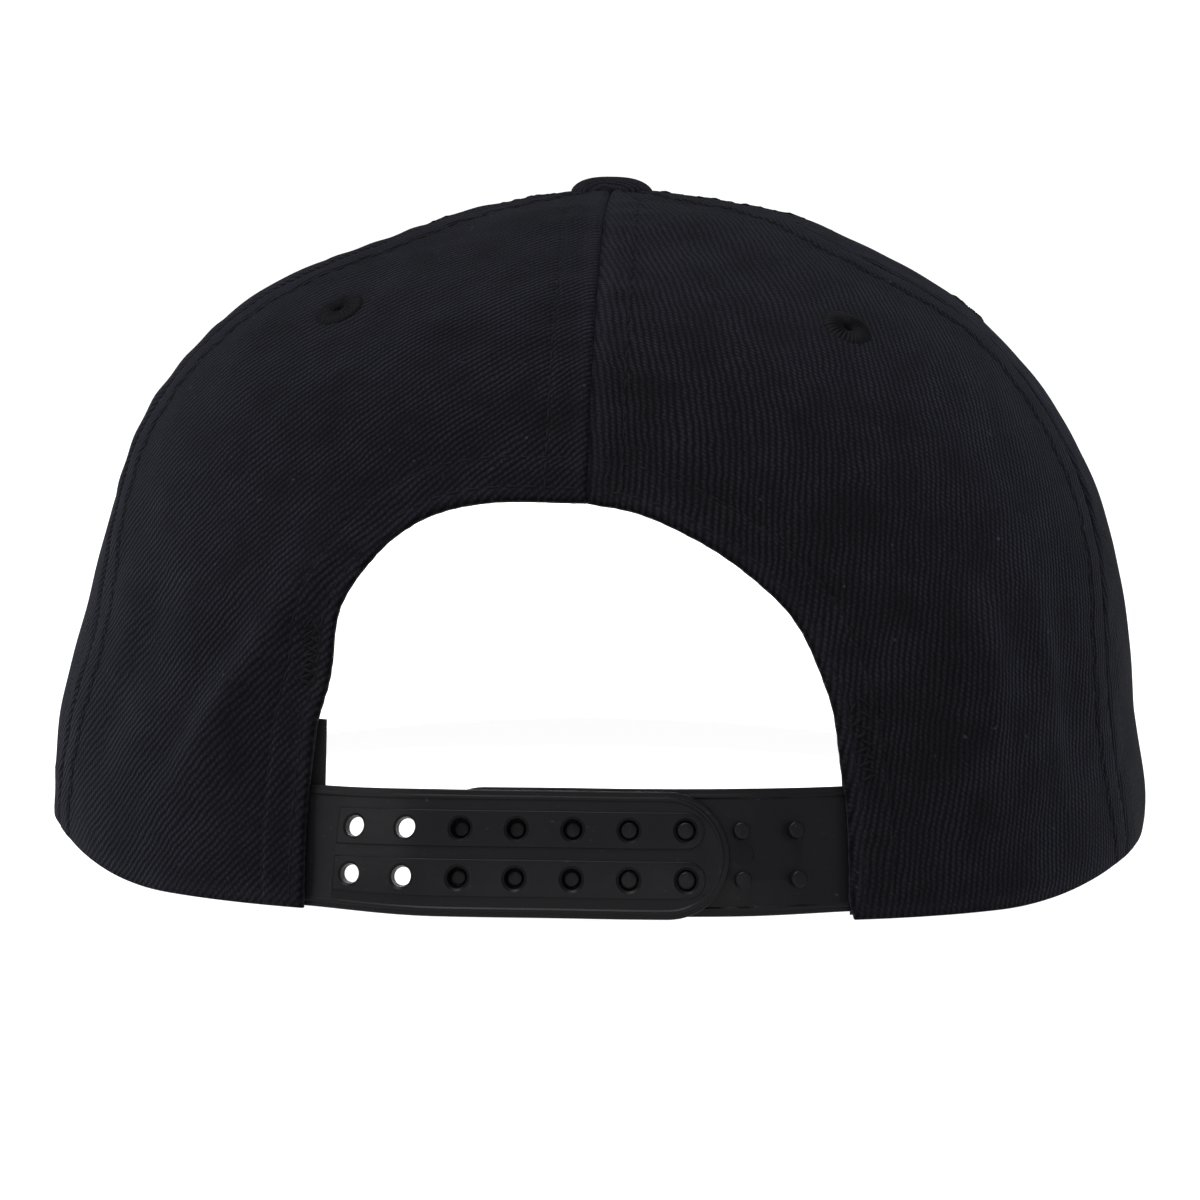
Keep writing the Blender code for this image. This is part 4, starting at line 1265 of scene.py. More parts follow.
class CAP_OT_stitching(Operator):
    """Rows of stitches beside the seams and round the rear opening, and the bar tacks at its feet"""
    bl_idname = "cap.stitching"
    bl_label = "Crown stitching"

    def execute(self, context):
        frames = []
        gores = [Gore(index) for index in range(len(GORES))]
        for gore in gores:
            for seam, side in gore.sewn_sides:
                frames += self.seam_frames(gore, seam, side)
        for gore in gores:
            if gore.at_rear:
                for offset in (HEM_INNER_ROW, HEM_OUTER_ROW):
                    path = arch_path(gore.side, offset)
                    clear = (path[:, 1] > 1.5 * MM) & (np.abs(path[:, 0]) > 0.2 * MM)
                    azimuth, row = on_crown(path[clear][::8])
                    frames += stitch_frames(*worked_line(gore, azimuth, row), STITCH_LIFT)
                frames += self.tack_frames(gore)
        piece = copies("crown_stitches", stitch_template(), frames)
        place_piece(piece, "thread")
        return {"FINISHED"}

    def seam_frames(self, gore, seam, side):
        """Stitches beside one seam, from the hem or the opening up to the button."""
        start = SEAM_ROW_START
        if gore.at_rear and abs(seam) < 1:
            start = np.interp(row_at((ARCH_HEIGHT + 1.0 * MM) / CROWN_HEIGHT), FINE_ROWS, gore.lengths)
        rows = np.interp(np.linspace(start, gore.length - SEAM_ROW_END, 260), gore.lengths, FINE_ROWS)
        distance = seam_row(seam, side) * gore.near_scale(rows)
        seam_line = seam_azimuth(seam, rows)
        reach = crown_reach(seam_line + side * 0.05, rows)[1]
        azimuth = seam_line + side * (distance + SEAM_SLIT / 2) / reach
        return stitch_frames(*worked_line(gore, azimuth, rows), STITCH_LIFT)

    def tack_frames(self, gore):
        """A short zigzag of thread beside the opening."""
        low, high, inner, outer = TACKS[gore.side]
        turns = np.arange(TACK_TURNS + 1)
        height = np.linspace(low, high, TACK_TURNS + 1)
        swing = np.where(turns % 2 == 0, inner, outer)
        edge = np.interp(height, *arch_path(gore.side)[:, ::-1].T)
        path = np.stack([edge + gore.side * swing, height], axis=-1)
        dense = np.linspace(0, TACK_TURNS, 10 * TACK_TURNS + 1)
        path = np.stack([np.interp(dense, turns, path[:, axis]) for axis in range(2)], axis=-1)
        surface, normal = worked_line(gore, *on_crown(path))
        pitch = path_lengths(surface)[-1] / (TACK_TURNS + 0.5)
        return stitch_frames(surface, normal, TACK_LIFT, 0.0, pitch)


class CAP_OT_button(Operator):
    """The twill-covered button on the crown's top"""
    bl_idname = "cap.button"
    bl_label = "Button"

    def execute(self, context):
        deselect()
        bpy.ops.mesh.primitive_uv_sphere_add(segments=72, ring_count=36, radius=1)
        button = named("button_covered")
        unit = points_of(button)
        plan = np.linalg.norm(unit[:, :2], axis=1)
        angle = np.arctan2(unit[:, 1], unit[:, 0])
        swell = np.abs(plan) ** 0.82
        pleats = 1 + PLEAT_DEPTH * np.cos(BUTTON_PLEATS * angle) * ease(plan, 0.75, 1.0)
        radius = BUTTON_RADIUS * swell * pleats
        top = BUTTON_HEIGHT * np.sqrt(np.clip(1 - swell**2.6, 0, 1)) + 0.05 * MM
        bottom = -1.0 * MM * np.sqrt(np.clip(1 - swell**4, 0, 1))
        height = np.where(unit[:, 2] >= -TOLERANCE, top, bottom)
        direction = unit[:, :2] / np.maximum(plan, 1e-9)[:, None]
        points = np.column_stack([direction * radius[:, None], height + CLEARANCE])
        turn = settings_of("cloth").twill_angle
        cloth = np.column_stack([points[:, 1] * math.cos(turn) - points[:, 0] * math.sin(turn),
                                 -points[:, 1] * math.sin(turn) - points[:, 0] * math.cos(turn),
                                 np.zeros(len(points))]) * BUTTON_WEAVE
        set_attribute(button, "cloth", "FLOAT_VECTOR", cloth)
        set_attribute(button, "wear", "FLOAT", np.exp(-((plan - 0.93) / 0.06) ** 2))
        drop = (points[:, 0] ** 2 + points[:, 1] ** 2) / BUTTON_RADIUS**2 * 0.9 * MM * (unit[:, 2] < 0.25)
        points[:, 2] -= drop
        set_points(button, points + crown_point(0.0, 1.0) + BUTTON_SHIFT)
        dress(button, "black_twill", "twill", "button")
        self.washer()
        return {"FINISHED"}

    def washer(self):
        """The flat disc inside the crown, under the button."""
        deselect()
        bpy.ops.mesh.primitive_cylinder_add(vertices=40, radius=WASHER_RADIUS, depth=WASHER_THICKNESS)
        washer = named("button_washer")
        edit(washer)
        pick(washer, "EDGE", lambda edge: abs(edge.verts[0].co.z - edge.verts[1].co.z) < TOLERANCE)
        bpy.ops.mesh.bevel(offset=0.25 * MM, segments=3)
        done()
        washer.location = Vector(crown_point(0.0, 1.0)) - Vector((0, 0, CLOTH + 0.75 * MM))
        settle(washer)
        dress(washer, "black_thread", "thread")


class CAP_OT_eyelets(Operator):
    """Six embroidered eyelets, each a ring of radial thread"""
    bl_idname = "cap.eyelets"
    bl_label = "Eyelets"

    def execute(self, context):
        ridges = settings_of("sewing").eyelet_ridges
        middle = (EYELET_RADIUS + EYELET_BORE) / 2
        half = (EYELET_RADIUS - EYELET_BORE) / 2
        for number, (name, azimuth, share) in enumerate(EYELETS):
            deselect()
            bpy.ops.mesh.primitive_torus_add(major_segments=ridges * 6, minor_segments=14,
                                             major_radius=middle, minor_radius=half)
            ring = named(name + "_thread")
            points = points_of(ring)
            plan = np.linalg.norm(points[:, :2], axis=1)
            angle = np.arctan2(points[:, 1], points[:, 0])
            out = (plan - middle) / half
            sunk = SIDE_EYELET_SUNK if "side" in name else 0.0
            uneven = np.sin(angle * 7 + number) * 0.35 + np.sin(angle * 13 + 2 * number) * 0.25
            ridge = np.abs(np.cos(angle * ridges / 2 + 0.4 * uneven))
            ragged = 1 + 0.07 * uneven * ease(out, 0.2, 1.0) + 0.07 * (ridge - 0.5) * ease(out, 0.3, 1.0)
            radius = middle + (plan - middle) * ragged
            height = points[:, 2] * (0.20 + 0.24 * ridge + 0.05 * uneven) - 0.3 * MM * out**2
            direction = points[:, :2] / plan[:, None]
            set_points(ring, np.column_stack([direction * radius[:, None], height - sunk]))
            ring.matrix_world = eyelet_frame(math.radians(azimuth), share)
            settle(ring)
            dress(ring, "black_thread", "thread", name)
        return {"FINISHED"}


def peak_plan(u, v):
    """Plan point of the peak from the crown's axis: u from end to end, v from the crown to the edge."""
    turn = PEAK_START + (2 * math.pi - 2 * PEAK_START) * u
    reach = rim_reach(turn) - CLOTH
    outer = np.stack(peak_outline((0.5 - u) * math.pi), axis=-1)
    inner = np.stack([reach * np.sin(turn), -reach * np.cos(turn)], axis=-1)
    return inner + (outer - inner) * np.asarray(v)[..., None], np.linalg.norm(outer - inner, axis=-1)


def peak_rows():
    """Distances of the peak's rows of stitches from its outer edge."""
    settings = settings_of("cloth")
    return [(number + 0.9) * settings.peak_row_pitch for number in range(settings.peak_rows)]


def peak_grooves(to_outer):
    """How far the cloth is drawn in at the peak's rows of stitches."""
    rise = np.zeros_like(to_outer)
    for row in peak_rows():
        rise = rise - PEAK_GROOVE * np.exp(-((to_outer - row) / PEAK_GROOVE_WIDTH) ** 2)
    return rise


class CAP_OT_peak(Operator):
    """The flat peak: twill over a board, with rows of stitches"""
    bl_idname = "cap.peak"
    bl_label = "Peak"

    def execute(self, context):
        across = spread(np.array([1.0]), np.array([0, 0.002, 0.005, 0.009, 0.015]), 180)[0]
        out = np.concatenate([[0, 0.006, 0.014, 0.03], np.linspace(0.05, 0.96, 76),
                              [0.972, 0.981, 0.989, 0.995, 1.0]])
        u, v = np.meshgrid(across, out)
        plan, width = peak_plan(u, v)
        to_outer, to_inner = (1 - v) * width, v * width
        end_gap = np.minimum(u, 1 - u) * 2.6 * PEAK_HALF_WIDTH
        to_edge = np.minimum(np.minimum(to_outer, to_inner), end_gap)
        to_edge[border(to_edge.shape)] = 0
        roll = round_over(to_edge, PEAK_THICKNESS / 2)
        fade = ease(to_edge, 0, 2 * MM)
        rise = (peak_grooves(to_outer) + 0.4 * ripple(plan[..., 0], plan[..., 1], 9)) * fade
        top = peak_top(plan[..., 0], plan[..., 1])
        points = np.stack([plan[..., 0], plan[..., 1] + AXIS_Y, top], axis=-1)
        upper, lower = points.copy(), points.copy()
        upper[..., 2] += np.minimum(rise, 0) - roll
        lower[..., 2] += roll - PEAK_THICKNESS - np.minimum(rise, 0)
        cloth = np.stack([plan[..., 0], plan[..., 1], np.zeros_like(u)], axis=-1)
        wear = np.exp(-((to_edge - MM) / MM) ** 2)
        looks = (finish("black_twill"), finish("black_twill"))
        piece = shell("peak_cloth", upper, lower, cloth, wear, looks)
        place_piece(piece, "twill", "peak")
        frames = []
        for distance in peak_rows():
            frames += self.row_frames(distance)
        stitches = copies("peak_stitches", stitch_template(), frames)
        place_piece(stitches, "thread")
        return {"FINISHED"}

    def row_frames(self, distance):
        """Stitches of one row, on the top and the underside."""
        u = np.linspace(0.01, 0.99, 900)
        width = peak_plan(u, np.ones_like(u))[1]
        inside = width > distance + 1.5 * MM
        u, width = u[inside], width[inside]
        plan, _ = peak_plan(u, 1 - distance / width)
        top = peak_top(plan[:, 0], plan[:, 1])
        points = np.column_stack([plan[:, 0], plan[:, 1] + AXIS_Y, top - PEAK_GROOVE])
        up = np.broadcast_to([0.0, 0.0, 1.0], points.shape)
        frames = stitch_frames(points, up, PEAK_STITCH_LIFT)
        below = points.copy()
        below[:, 2] = top - PEAK_THICKNESS + PEAK_GROOVE
        return frames + stitch_frames(below, -up, PEAK_STITCH_LIFT, 1.5 * MM)


def wall_strip(name, azimuth, row, depth, thickness, materials):
    """A strip of cloth that lies this deep behind the crown's outer face."""
    point = crown_point(azimuth, row)
    normal = crown_normal(azimuth, row)
    rows, columns = azimuth.shape
    along = np.linalg.norm(np.diff(point, axis=0), axis=-1)
    up = np.concatenate([np.zeros((1, columns)), np.cumsum(along, axis=0)])
    across = np.linalg.norm(np.diff(point, axis=1), axis=-1)
    over = np.concatenate([np.zeros((rows, 1)), np.cumsum(across, axis=1)], axis=1)
    to_edge = np.minimum(np.minimum(up, up[-1:] - up), np.minimum(over, over[:, -1:] - over))
    roll = round_over(to_edge, thickness / 2)
    outer = point - normal * (depth + roll)[..., None]
    inner = point - normal * (depth + thickness - roll)[..., None]
    cloth = np.stack([over, up, np.zeros_like(up)], axis=-1)
    return shell(name, outer, inner, cloth, np.zeros_like(up), materials)


TAPE_TOP_ROW = 0.93
TAPE_HALF_WIDTH = 6.5 * MM
TAPE_GAP, TAPE_THICKNESS = 0.08 * MM, 0.5 * MM
TAPE_COLUMNS = np.array([-1, -0.985, -0.96, -0.9, -0.6, -0.3, 0, 0.3, 0.6, 0.9, 0.96, 0.985, 1])


class CAP_OT_seam_tapes(Operator):
    """The tapes that cover the seams inside the crown"""
    bl_idname = "cap.seam_tapes"
    bl_label = "Seam tapes"

    def execute(self, context):
        tapes = []
        start = BAND_HEIGHT * 0.8
        for seam in SEAMS[1:]:
            at_rear = abs(seam) < 1
            low = ARCH_HEIGHT + 2 * MM if at_rear else start
            low_row = float(row_at(low / CROWN_HEIGHT))
            rows = low_row + (TAPE_TOP_ROW - low_row) * np.linspace(0, 1, 70)
            seam_line = seam_azimuth(seam, rows)
            reach = crown_reach(seam_line, rows)[1]
            half = np.minimum(TAPE_HALF_WIDTH, 0.45 * reach)
            azimuth = within_turn(seam_line[:, None] + (half / reach)[:, None] * TAPE_COLUMNS)
            row = np.broadcast_to(rows[:, None], azimuth.shape)
            look = (finish("seam_tape"),)
            tapes.append(wall_strip("tape", azimuth, row, CLOTH + TAPE_GAP, TAPE_THICKNESS, look))
        piece = join("seam_tapes", tapes)
        place_piece(piece, "band")
        return {"FINISHED"}


class CAP_OT_sweatband(Operator):
    """The pale cotton sweatband and the black facings at its two ends"""
    bl_idname = "cap.sweatband"
    bl_label = "Sweatband"
    ends = (0.0, 0.0)

    def execute(self, context):
        start = float(azimuth_at(ARCH_HALF_WIDTH + CLEARANCE, 0.0))
        end = float(azimuth_at(-BAND_END, 0.0)) + 2 * math.pi
        self.ends = (start, end)
        band = self.strip("sweatband_cotton", start + BAND_CUT_BACK, end - BAND_CUT_BACK, 420, 0.0,
                          "pale_cotton")
        place_piece(band, "band", "sweatband")
        for name, low, high in (("band_end_right", start, start + FACING_TURN),
                                ("band_end_left", end - FACING_TURN, end)):
            piece = self.strip(name, low, high, 40, FACING_WRAP, "black_cotton")
            place_piece(piece, "band")
        return {"FINISHED"}

    def strip(self, name, start, end, columns, wrap, look):
        """A stretch of the band; wrap is how far a facing stands off it all round."""
        tuck = float(azimuth_at(ARCH_HALF_WIDTH + STRAP_TUCK, 0.0))
        at_cloth = CLOTH + BAND_GAP
        at_strap = at_cloth + STRAP_THICKNESS + CLEARANCE
        u = spread(np.array([end - start]), np.array([0, 0.0025, 0.006, 0.01]), columns)[0]
        v = np.concatenate([[0, 0.008, 0.02, 0.04], np.linspace(0.07, 0.9, 16),
                            [0.93, 0.96, 0.98, 0.992, 1.0]])
        turn, share = np.meshgrid(start + u, v)
        upright = azimuth_at(-BAND_END, row_at(share[:, :1] * BAND_HEIGHT / CROWN_HEIGHT)) + 2 * math.pi
        turn = turn + (upright - self.ends[1]) * ease(turn, self.ends[1] - 0.3, self.ends[1])
        azimuth = within_turn(turn)
        base = rim_height(azimuth)
        at_front = ease(np.abs(azimuth), PEAK_START - RIM_TURN, PEAK_START)
        bottom = CLEARANCE - wrap - at_front * BAND_FRONT_TUCK
        from_end = np.minimum(turn - self.ends[0], upright - turn) * RIM_HALF_WIDTH
        top = BAND_HEIGHT + wrap - BAND_END_DROP * (1 - ease(from_end, 4 * MM, 30 * MM))
        height = bottom + share * (top - bottom)
        row = row_at(np.maximum(height, 0) / (CROWN_HEIGHT - base))
        below = np.minimum(height, 0)
        inward = at_strap + (at_cloth - at_strap) * ease(np.abs(azimuth), tuck, 1.5 * tuck)
        point = crown_point(azimuth, row)
        normal = crown_normal(azimuth, row)
        point[..., 2] += below
        to_end = np.minimum(turn - turn[:, :1], turn[:, -1:] - turn) * RIM_HALF_WIDTH
        to_edge = np.minimum(np.minimum(height - bottom, top - height), to_end)
        to_edge[border(to_edge.shape)] = 0
        roll = round_over(to_edge, BAND_THICKNESS / 2 + wrap)
        length = turn * RIM_HALF_WIDTH
        fold = 0.22 * MM * np.exp(-((top - height - 4 * MM) / (0.6 * MM)) ** 2)
        wave = BAND_WAVE * np.sin(length * 2 * math.pi / BAND_WAVE_LENGTH) * ease(to_edge, 0, 4 * MM)
        outer = point - normal * (inward - wrap + roll)[..., None]
        depth = inward + BAND_THICKNESS + wrap - roll - (fold - wave) * (wrap == 0)
        inner = point - normal * depth[..., None]
        cloth = np.stack([length, height, np.zeros_like(height)], axis=-1)
        return shell(name, outer, inner, cloth, np.zeros_like(height), (finish(look),))


# Straps: built flat, with x along the strap, y = 0 on its outer face and z up, then bent

TIP_HOLE_STRAP = LAST_HOLE + TIP_MARGIN
TIP_PEG_STRAP = LAST_HOLE - (FASTENED_COLUMNS - 1) * COLUMN_PITCH - TIP_MARGIN
TUCKED_FACE = -(CLOTH + CLEARANCE)
TOUCHING_FACE = STRAP_BULGE - STRAP_THICKNESS - CLEARANCE


def hole_strap_face(along):
    """How far the outer strap's face stands out from the rim's plan."""
    out = ease(along, -ARCH_HALF_WIDTH, -STRAP_OUT * ARCH_HALF_WIDTH)
    return TUCKED_FACE + (STRAP_BULGE - TUCKED_FACE) * out


def peg_strap_face(along):
    """How far the inner strap's face stands out: it parts from the outer strap towards its tip."""
    parted = STRAP_PARTING * (1 - ease(along, TIP_PEG_STRAP, LAST_HOLE))
    tucked = ease(along, STRAP_TUCK_START * ARCH_HALF_WIDTH, ARCH_HALF_WIDTH)
    return (TOUCHING_FACE - parted) * (1 - tucked) + TUCKED_FACE * tucked


def bend(piece, face_rule):
    """Bend a flat strap along the crown's rear, with its outer face where the rule says."""
    azimuths = np.linspace(-math.pi / 2, math.pi / 2, 2001)
    plan = crown_point(azimuths, 0.0)[:, :2]
    lengths = path_lengths(plan)
    lengths -= lengths[len(lengths) // 2]
    flat = points_of(piece)
    along = flat[:, 0]
    azimuth = np.interp(along, lengths, azimuths)
    sag = STRAP_SAG * np.cos(np.clip(along / ARCH_HALF_WIDTH, -1, 1) * math.pi / 2)
    droop = STRAP_DROOP * ease(-along, 0, ARCH_HALF_WIDTH)
    row = row_at((flat[:, 2] + STRAP_BOTTOM + HOLE_STRAP_HEIGHT / 2 - sag - droop) / CROWN_HEIGHT)
    outward = face_rule(along) - flat[:, 1]
    set_points(piece, crown_point(azimuth, row) + crown_normal(azimuth, row) * outward[:, None])


def bar(name, square_end, round_end, height, rise, front, back, rounding):
    """A bar that is half round at one end, with rounded edges, from depth front to depth back."""
    deselect()
    low, high = min(square_end, round_end), max(square_end, round_end)
    bpy.ops.mesh.primitive_cube_add(size=1, location=((low + high) / 2, (front + back) / 2, rise),
                                    scale=(high - low, back - front, height))
    piece = settle(named(name))
    edit(piece)
    pick(piece, "EDGE", lambda edge: all(abs(vertex.co.x - round_end) < TOLERANCE for vertex in edge.verts)
         and abs(edge.verts[0].co.z - edge.verts[1].co.z) < TOLERANCE)
    bpy.ops.mesh.bevel(offset=height * 0.499, segments=16, profile=0.5)
    bpy.ops.mesh.select_all(action="SELECT")
    bpy.ops.mesh.remove_doubles(threshold=height * 0.004)
    pick(piece, "EDGE", lambda edge: abs(edge.verts[0].co.y - edge.verts[1].co.y) < TOLERANCE)
    bpy.ops.mesh.bevel(offset=rounding, segments=3, profile=0.5)
    done()
    return piece


def raise_bead(piece):
    """Raise a bead along the outline of a bar's front face."""
    rise = settings_of("strap").bead_height
    edit(piece)
    largest = max(face.calc_area() for face in bmesh.from_edit_mesh(piece.data).faces)
    pick(piece, "FACE", lambda face: face.calc_area() > 0.9 * largest and face.normal.y < -0.9)
    for inset, depth in ((BEAD_MARGIN, 0), (BEAD_FLANK, rise), (BEAD_CREST, 0), (BEAD_FLANK, -rise)):
        bpy.ops.mesh.inset(thickness=inset, depth=depth)
    done()


def posts(name, columns, radius, low, high, lip):
    """Cones through both rows of each column, from depth low to depth high; lip is how much they widen."""
    made = []
    for along in columns:
        for side in (-1, 1):
            deselect()
            bpy.ops.mesh.primitive_cone_add(vertices=FACETS, depth=high - low,
                                            radius1=radius + lip, radius2=radius,
                                            location=(along, (low + high) / 2, side * ROW_PITCH / 2),
                                            rotation=(-math.pi / 2, 0, 0))
            made.append(settle(named(name)))
    return join(name, made)


def pegs_template(columns):
    """Pegs with rounded ends in both rows of each column."""
    made = []
    for along, height in zip(columns, PEG_HEIGHTS):
        for side in (-1, 1):
            deselect()
            place = (along, (PEG_ROOT - height) / 2, side * ROW_PITCH / 2)
            bpy.ops.mesh.primitive_cylinder_add(vertices=24, radius=PEG_RADIUS, depth=height + PEG_ROOT,
                                                location=place, rotation=(math.pi / 2, 0, 0))
            peg = settle(named("peg"))
            edit(peg)
            pick(peg, "EDGE", lambda edge: all(vertex.co.y < -height + TOLERANCE for vertex in edge.verts))
            bpy.ops.mesh.bevel(offset=PEG_TIP_ROUND, segments=4, profile=0.5)
            done()
            made.append(peg)
    return join("pegs", made)


def finish_strap(piece, face_rule):
    """Divide a strap along its length, bend it and give it its finish."""
    ends = points_of(piece)[:, 0]
    edit(piece)
    for along in np.arange(ends.min() + 0.9 * MM, ends.max() - 0.5 * MM, STRAP_SLICE):
        bpy.ops.mesh.select_all(action="SELECT")
        bpy.ops.mesh.bisect(plane_co=(along, 0, 0), plane_no=(1, 0, 0))
    bpy.ops.mesh.select_all(action="SELECT")
    bpy.ops.mesh.quads_convert_to_tris()
    done()
    bend(piece, face_rule)
    piece.data.materials.clear()
    piece.data.materials.append(finish("moulded_plastic"))
    activate(piece)
    bpy.ops.object.shade_smooth_by_angle(angle=SHARP_ANGLE)
    apply_modifier(piece, "WEIGHTED_NORMAL", keep_sharp=True, weight=60)


class CAP_OT_straps(Operator):
    """The two moulded straps, one with rows of holes and one with rows of pegs"""
    bl_idname = "cap.straps"
    bl_label = "Straps"

    def execute(self, context):
        self.hole_strap()
        self.peg_strap()
        return {"FINISHED"}

    def hole_strap(self):
        settings = settings_of("strap")
        columns = [LAST_HOLE - index * COLUMN_PITCH for index in range(COLUMNS)]
        strap = bar("strap_with_holes", -(ARCH_HALF_WIDTH + STRAP_TUCK), TIP_HOLE_STRAP, HOLE_STRAP_HEIGHT,
                    0.0, 0.0, STRAP_THICKNESS, settings.edge_round)
        raise_bead(strap)
        for side in (-1, 1):
            pad = bar("pad", columns[-1] - PAD_MARGIN, LAST_HOLE + PAD_MARGIN, PAD_HEIGHT,
                      side * ROW_PITCH / 2, -PAD_RISE, STRAP_THICKNESS / 2, PAD_EDGE_ROUND)
            combine(strap, pad, "UNION")
        tool = posts("holes", columns, HOLE_INNER_RADIUS, -MM, STRAP_THICKNESS + MM, HOLE_TAPER)
        combine(strap, tool, "DIFFERENCE")
        depth = settings.countersink
        tool = posts("countersinks", columns, SINK_RADIUS, -PAD_RISE - 0.1 * MM, -PAD_RISE + depth,
                     depth * 1.2)
        combine(strap, tool, "DIFFERENCE")
        finish_strap(strap, hole_strap_face)
        place_piece(strap, "strap", "strap_holes")

    def peg_strap(self):
        settings = settings_of("strap")
        first = LAST_HOLE - (FASTENED_COLUMNS - 1) * COLUMN_PITCH
        columns = [first + index * COLUMN_PITCH for index in range(COLUMNS)]
        strap = bar("strap_with_pegs", ARCH_HALF_WIDTH + STRAP_TUCK, TIP_PEG_STRAP, PEG_STRAP_HEIGHT,
                    PEG_STRAP_RISE, 0.0, STRAP_THICKNESS, settings.edge_round)
        raise_bead(strap)
        combine(strap, pegs_template(columns), "UNION")
        deselect()
        bpy.ops.mesh.primitive_cylinder_add(vertices=32, radius=MARK_RADIUS, depth=0.5 * MM,
                                            location=(columns[-2] + 0.2 * MM, -MARK_DEPTH, 0.3 * MM),
                                            rotation=(math.pi / 2, 0, 0))
        combine(strap, settle(named("mould_mark")), "DIFFERENCE")
        finish_strap(strap, peg_strap_face)
        place_piece(strap, "strap", "strap_pegs")


# Studio

# Camera from the photograph: place from the crown's axis, direction, roll and focal length
CAMERA_PLACE = Vector((27.35 * MM, -694.23 * MM + AXIS_Y, 108.47 * MM))
CAMERA_FORWARD = Vector((-0.04065, 0.99425, -0.09840))
CAMERA_ROLL = 0.01402
CAMERA_LENS = 119.74
CAMERA_SENSOR = 36.0

CAP_MIDDLE = (0.0, 0.0, 0.05)
LIGHTS = (
    # name, its power's setting, place, width and height, target
    ("front_softbox", "front_power", (0.0, -2.6, 0.33), (2.6, 0.6), CAP_MIDDLE),
    ("top_softbox", "top_power", (-0.35, -0.45, 1.5), (1.1, 0.8), CAP_MIDDLE),
    ("left_softbox", "left_power", (-1.5, -1.05, 0.6), (1.0, 1.0), CAP_MIDDLE),
    ("right_softbox", "right_power", (1.5, -1.05, 0.6), (1.0, 1.0), CAP_MIDDLE),
    ("inner_light", "inner_power", (0.0, -0.030, 0.068), (0.06, 0.03), (0.0, 0.055, 0.035)),
)
FLOOR_RADIUS, FLOOR_DROP = 1.5, 0.02 * MM


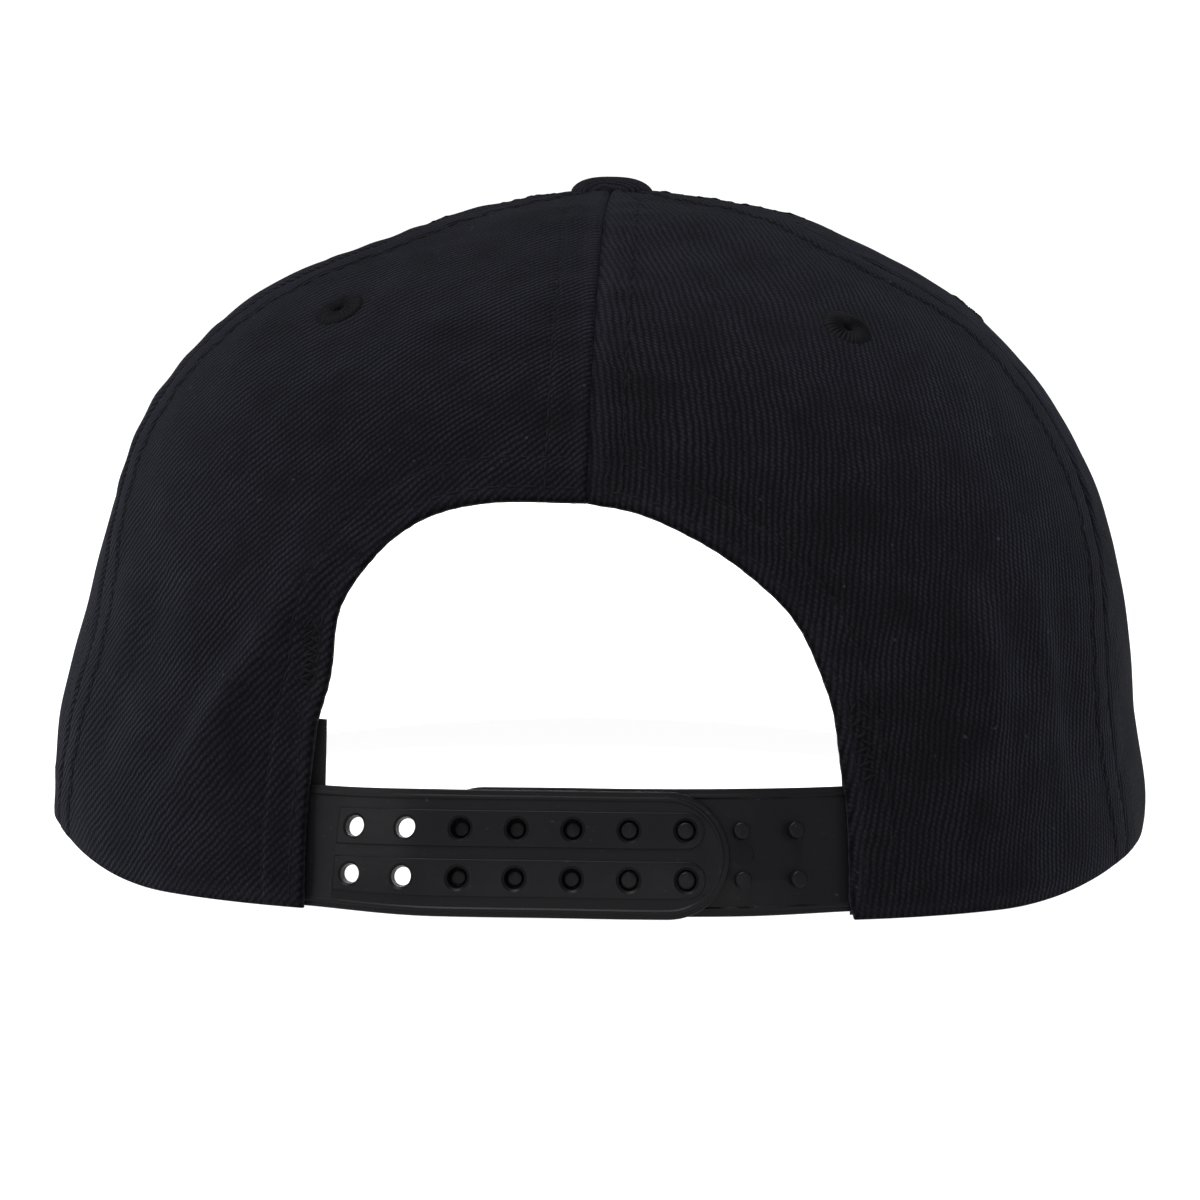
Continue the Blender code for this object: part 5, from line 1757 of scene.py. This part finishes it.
class CAP_OT_stage(Operator):
    """The glowing floor, the soft lights and the camera at the photograph's angle"""
    bl_idname = "cap.stage"
    bl_label = "Studio"

    def execute(self, context):
        context.scene.view_settings.view_transform = "Standard"
        self.floor()
        self.surroundings()
        for name, setting, place, size, target in LIGHTS:
            self.light(name, place, size, getattr(settings_of("studio"), setting), target)
        self.camera()
        return {"FINISHED"}

    def floor(self):
        deselect()
        bpy.ops.mesh.primitive_circle_add(vertices=96, radius=FLOOR_RADIUS, fill_type="NGON",
                                          location=(0, 0, -FLOOR_DROP))
        floor = settle(named("studio_floor"))
        floor.data.materials.append(finish("backdrop_paper"))

    def surroundings(self):
        world = bpy.data.worlds.new("studio_surroundings")
        bpy.context.scene.world = world
        world.use_nodes = True
        background = world.node_tree.nodes["Background"]
        background.inputs["Color"].default_value = (1.0, 1.0, 1.0, 1.0)
        seen = world.node_tree.nodes.new("ShaderNodeLightPath")
        level = world.node_tree.nodes.new("ShaderNodeMapRange")
        level.inputs["To Min"].default_value = settings_of("studio").sky_strength
        level.inputs["To Max"].default_value = settings_of("studio").backdrop_strength
        world.node_tree.links.new(seen.outputs["Is Camera Ray"], level.inputs["Value"])
        world.node_tree.links.new(level.outputs["Result"], background.inputs["Strength"])

    def light(self, name, place, size, power, target):
        """A soft rectangular light that faces the target."""
        lamp = bpy.data.lights.new(name, "AREA")
        lamp.shape = "RECTANGLE"
        lamp.size, lamp.size_y = size
        lamp.energy = power
        holder = bpy.data.objects.new(name, lamp)
        bpy.context.scene.collection.objects.link(holder)
        holder.location = place
        holder.visible_camera = False
        towards = Vector(target) - Vector(place)
        holder.rotation_euler = towards.to_track_quat("-Z", "Y").to_euler()

    def camera(self):
        right = CAMERA_FORWARD.cross(Vector((0, 0, 1))).normalized()
        up = right.cross(CAMERA_FORWARD).normalized()
        turned_right = math.cos(CAMERA_ROLL) * right + math.sin(CAMERA_ROLL) * up
        turned_up = -math.sin(CAMERA_ROLL) * right + math.cos(CAMERA_ROLL) * up
        back = -CAMERA_FORWARD.normalized()
        lens = bpy.data.cameras.new("camera")
        lens.lens = CAMERA_LENS
        lens.sensor_width = CAMERA_SENSOR
        lens.clip_start = 0.01
        holder = bpy.data.objects.new("camera", lens)
        bpy.context.scene.collection.objects.link(holder)
        holder.matrix_world = placing(turned_right, turned_up, back, CAMERA_PLACE)
        bpy.context.scene.camera = holder


class CAP_PT_panel(Panel):
    """Sizes and colours of the cap, with its pieces"""
    bl_idname = "CAP_PT_panel"
    bl_label = "Snapback Cap"
    bl_space_type = "VIEW_3D"
    bl_region_type = "UI"
    bl_category = "Cap"

    def draw(self, context):
        for group in ("cap_cloth", "cap_sewing", "cap_strap", "cap_studio"):
            settings = getattr(context.scene, group)
            box = self.layout.box()
            for key in settings.bl_rna.properties.keys():
                if key not in ("rna_type", "name"):
                    box.prop(settings, key)
        for operator in OPERATORS:
            self.layout.operator(operator.bl_idname)


SETTINGS = {
    "cap_cloth": CapClothSettings,
    "cap_sewing": CapSewingSettings,
    "cap_strap": CapStrapSettings,
    "cap_studio": CapStudioSettings,
}
OPERATORS = (CAP_OT_crown, CAP_OT_stitching, CAP_OT_button, CAP_OT_eyelets, CAP_OT_peak,
             CAP_OT_seam_tapes, CAP_OT_sweatband, CAP_OT_straps, CAP_OT_stage)


def register():
    for made in (*SETTINGS.values(), *OPERATORS, CAP_PT_panel):
        bpy.utils.register_class(made)
    for name, group in SETTINGS.items():
        setattr(bpy.types.Scene, name, PointerProperty(type=group))


def unregister():
    for name in SETTINGS:
        delattr(bpy.types.Scene, name)
    for made in reversed((*SETTINGS.values(), *OPERATORS, CAP_PT_panel)):
        bpy.utils.unregister_class(made)


def main():
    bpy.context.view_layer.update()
    register()
    for operator in OPERATORS:
        getattr(bpy.ops.cap, operator.bl_idname.split(".")[1])()


if __name__ == "__main__":
    main()
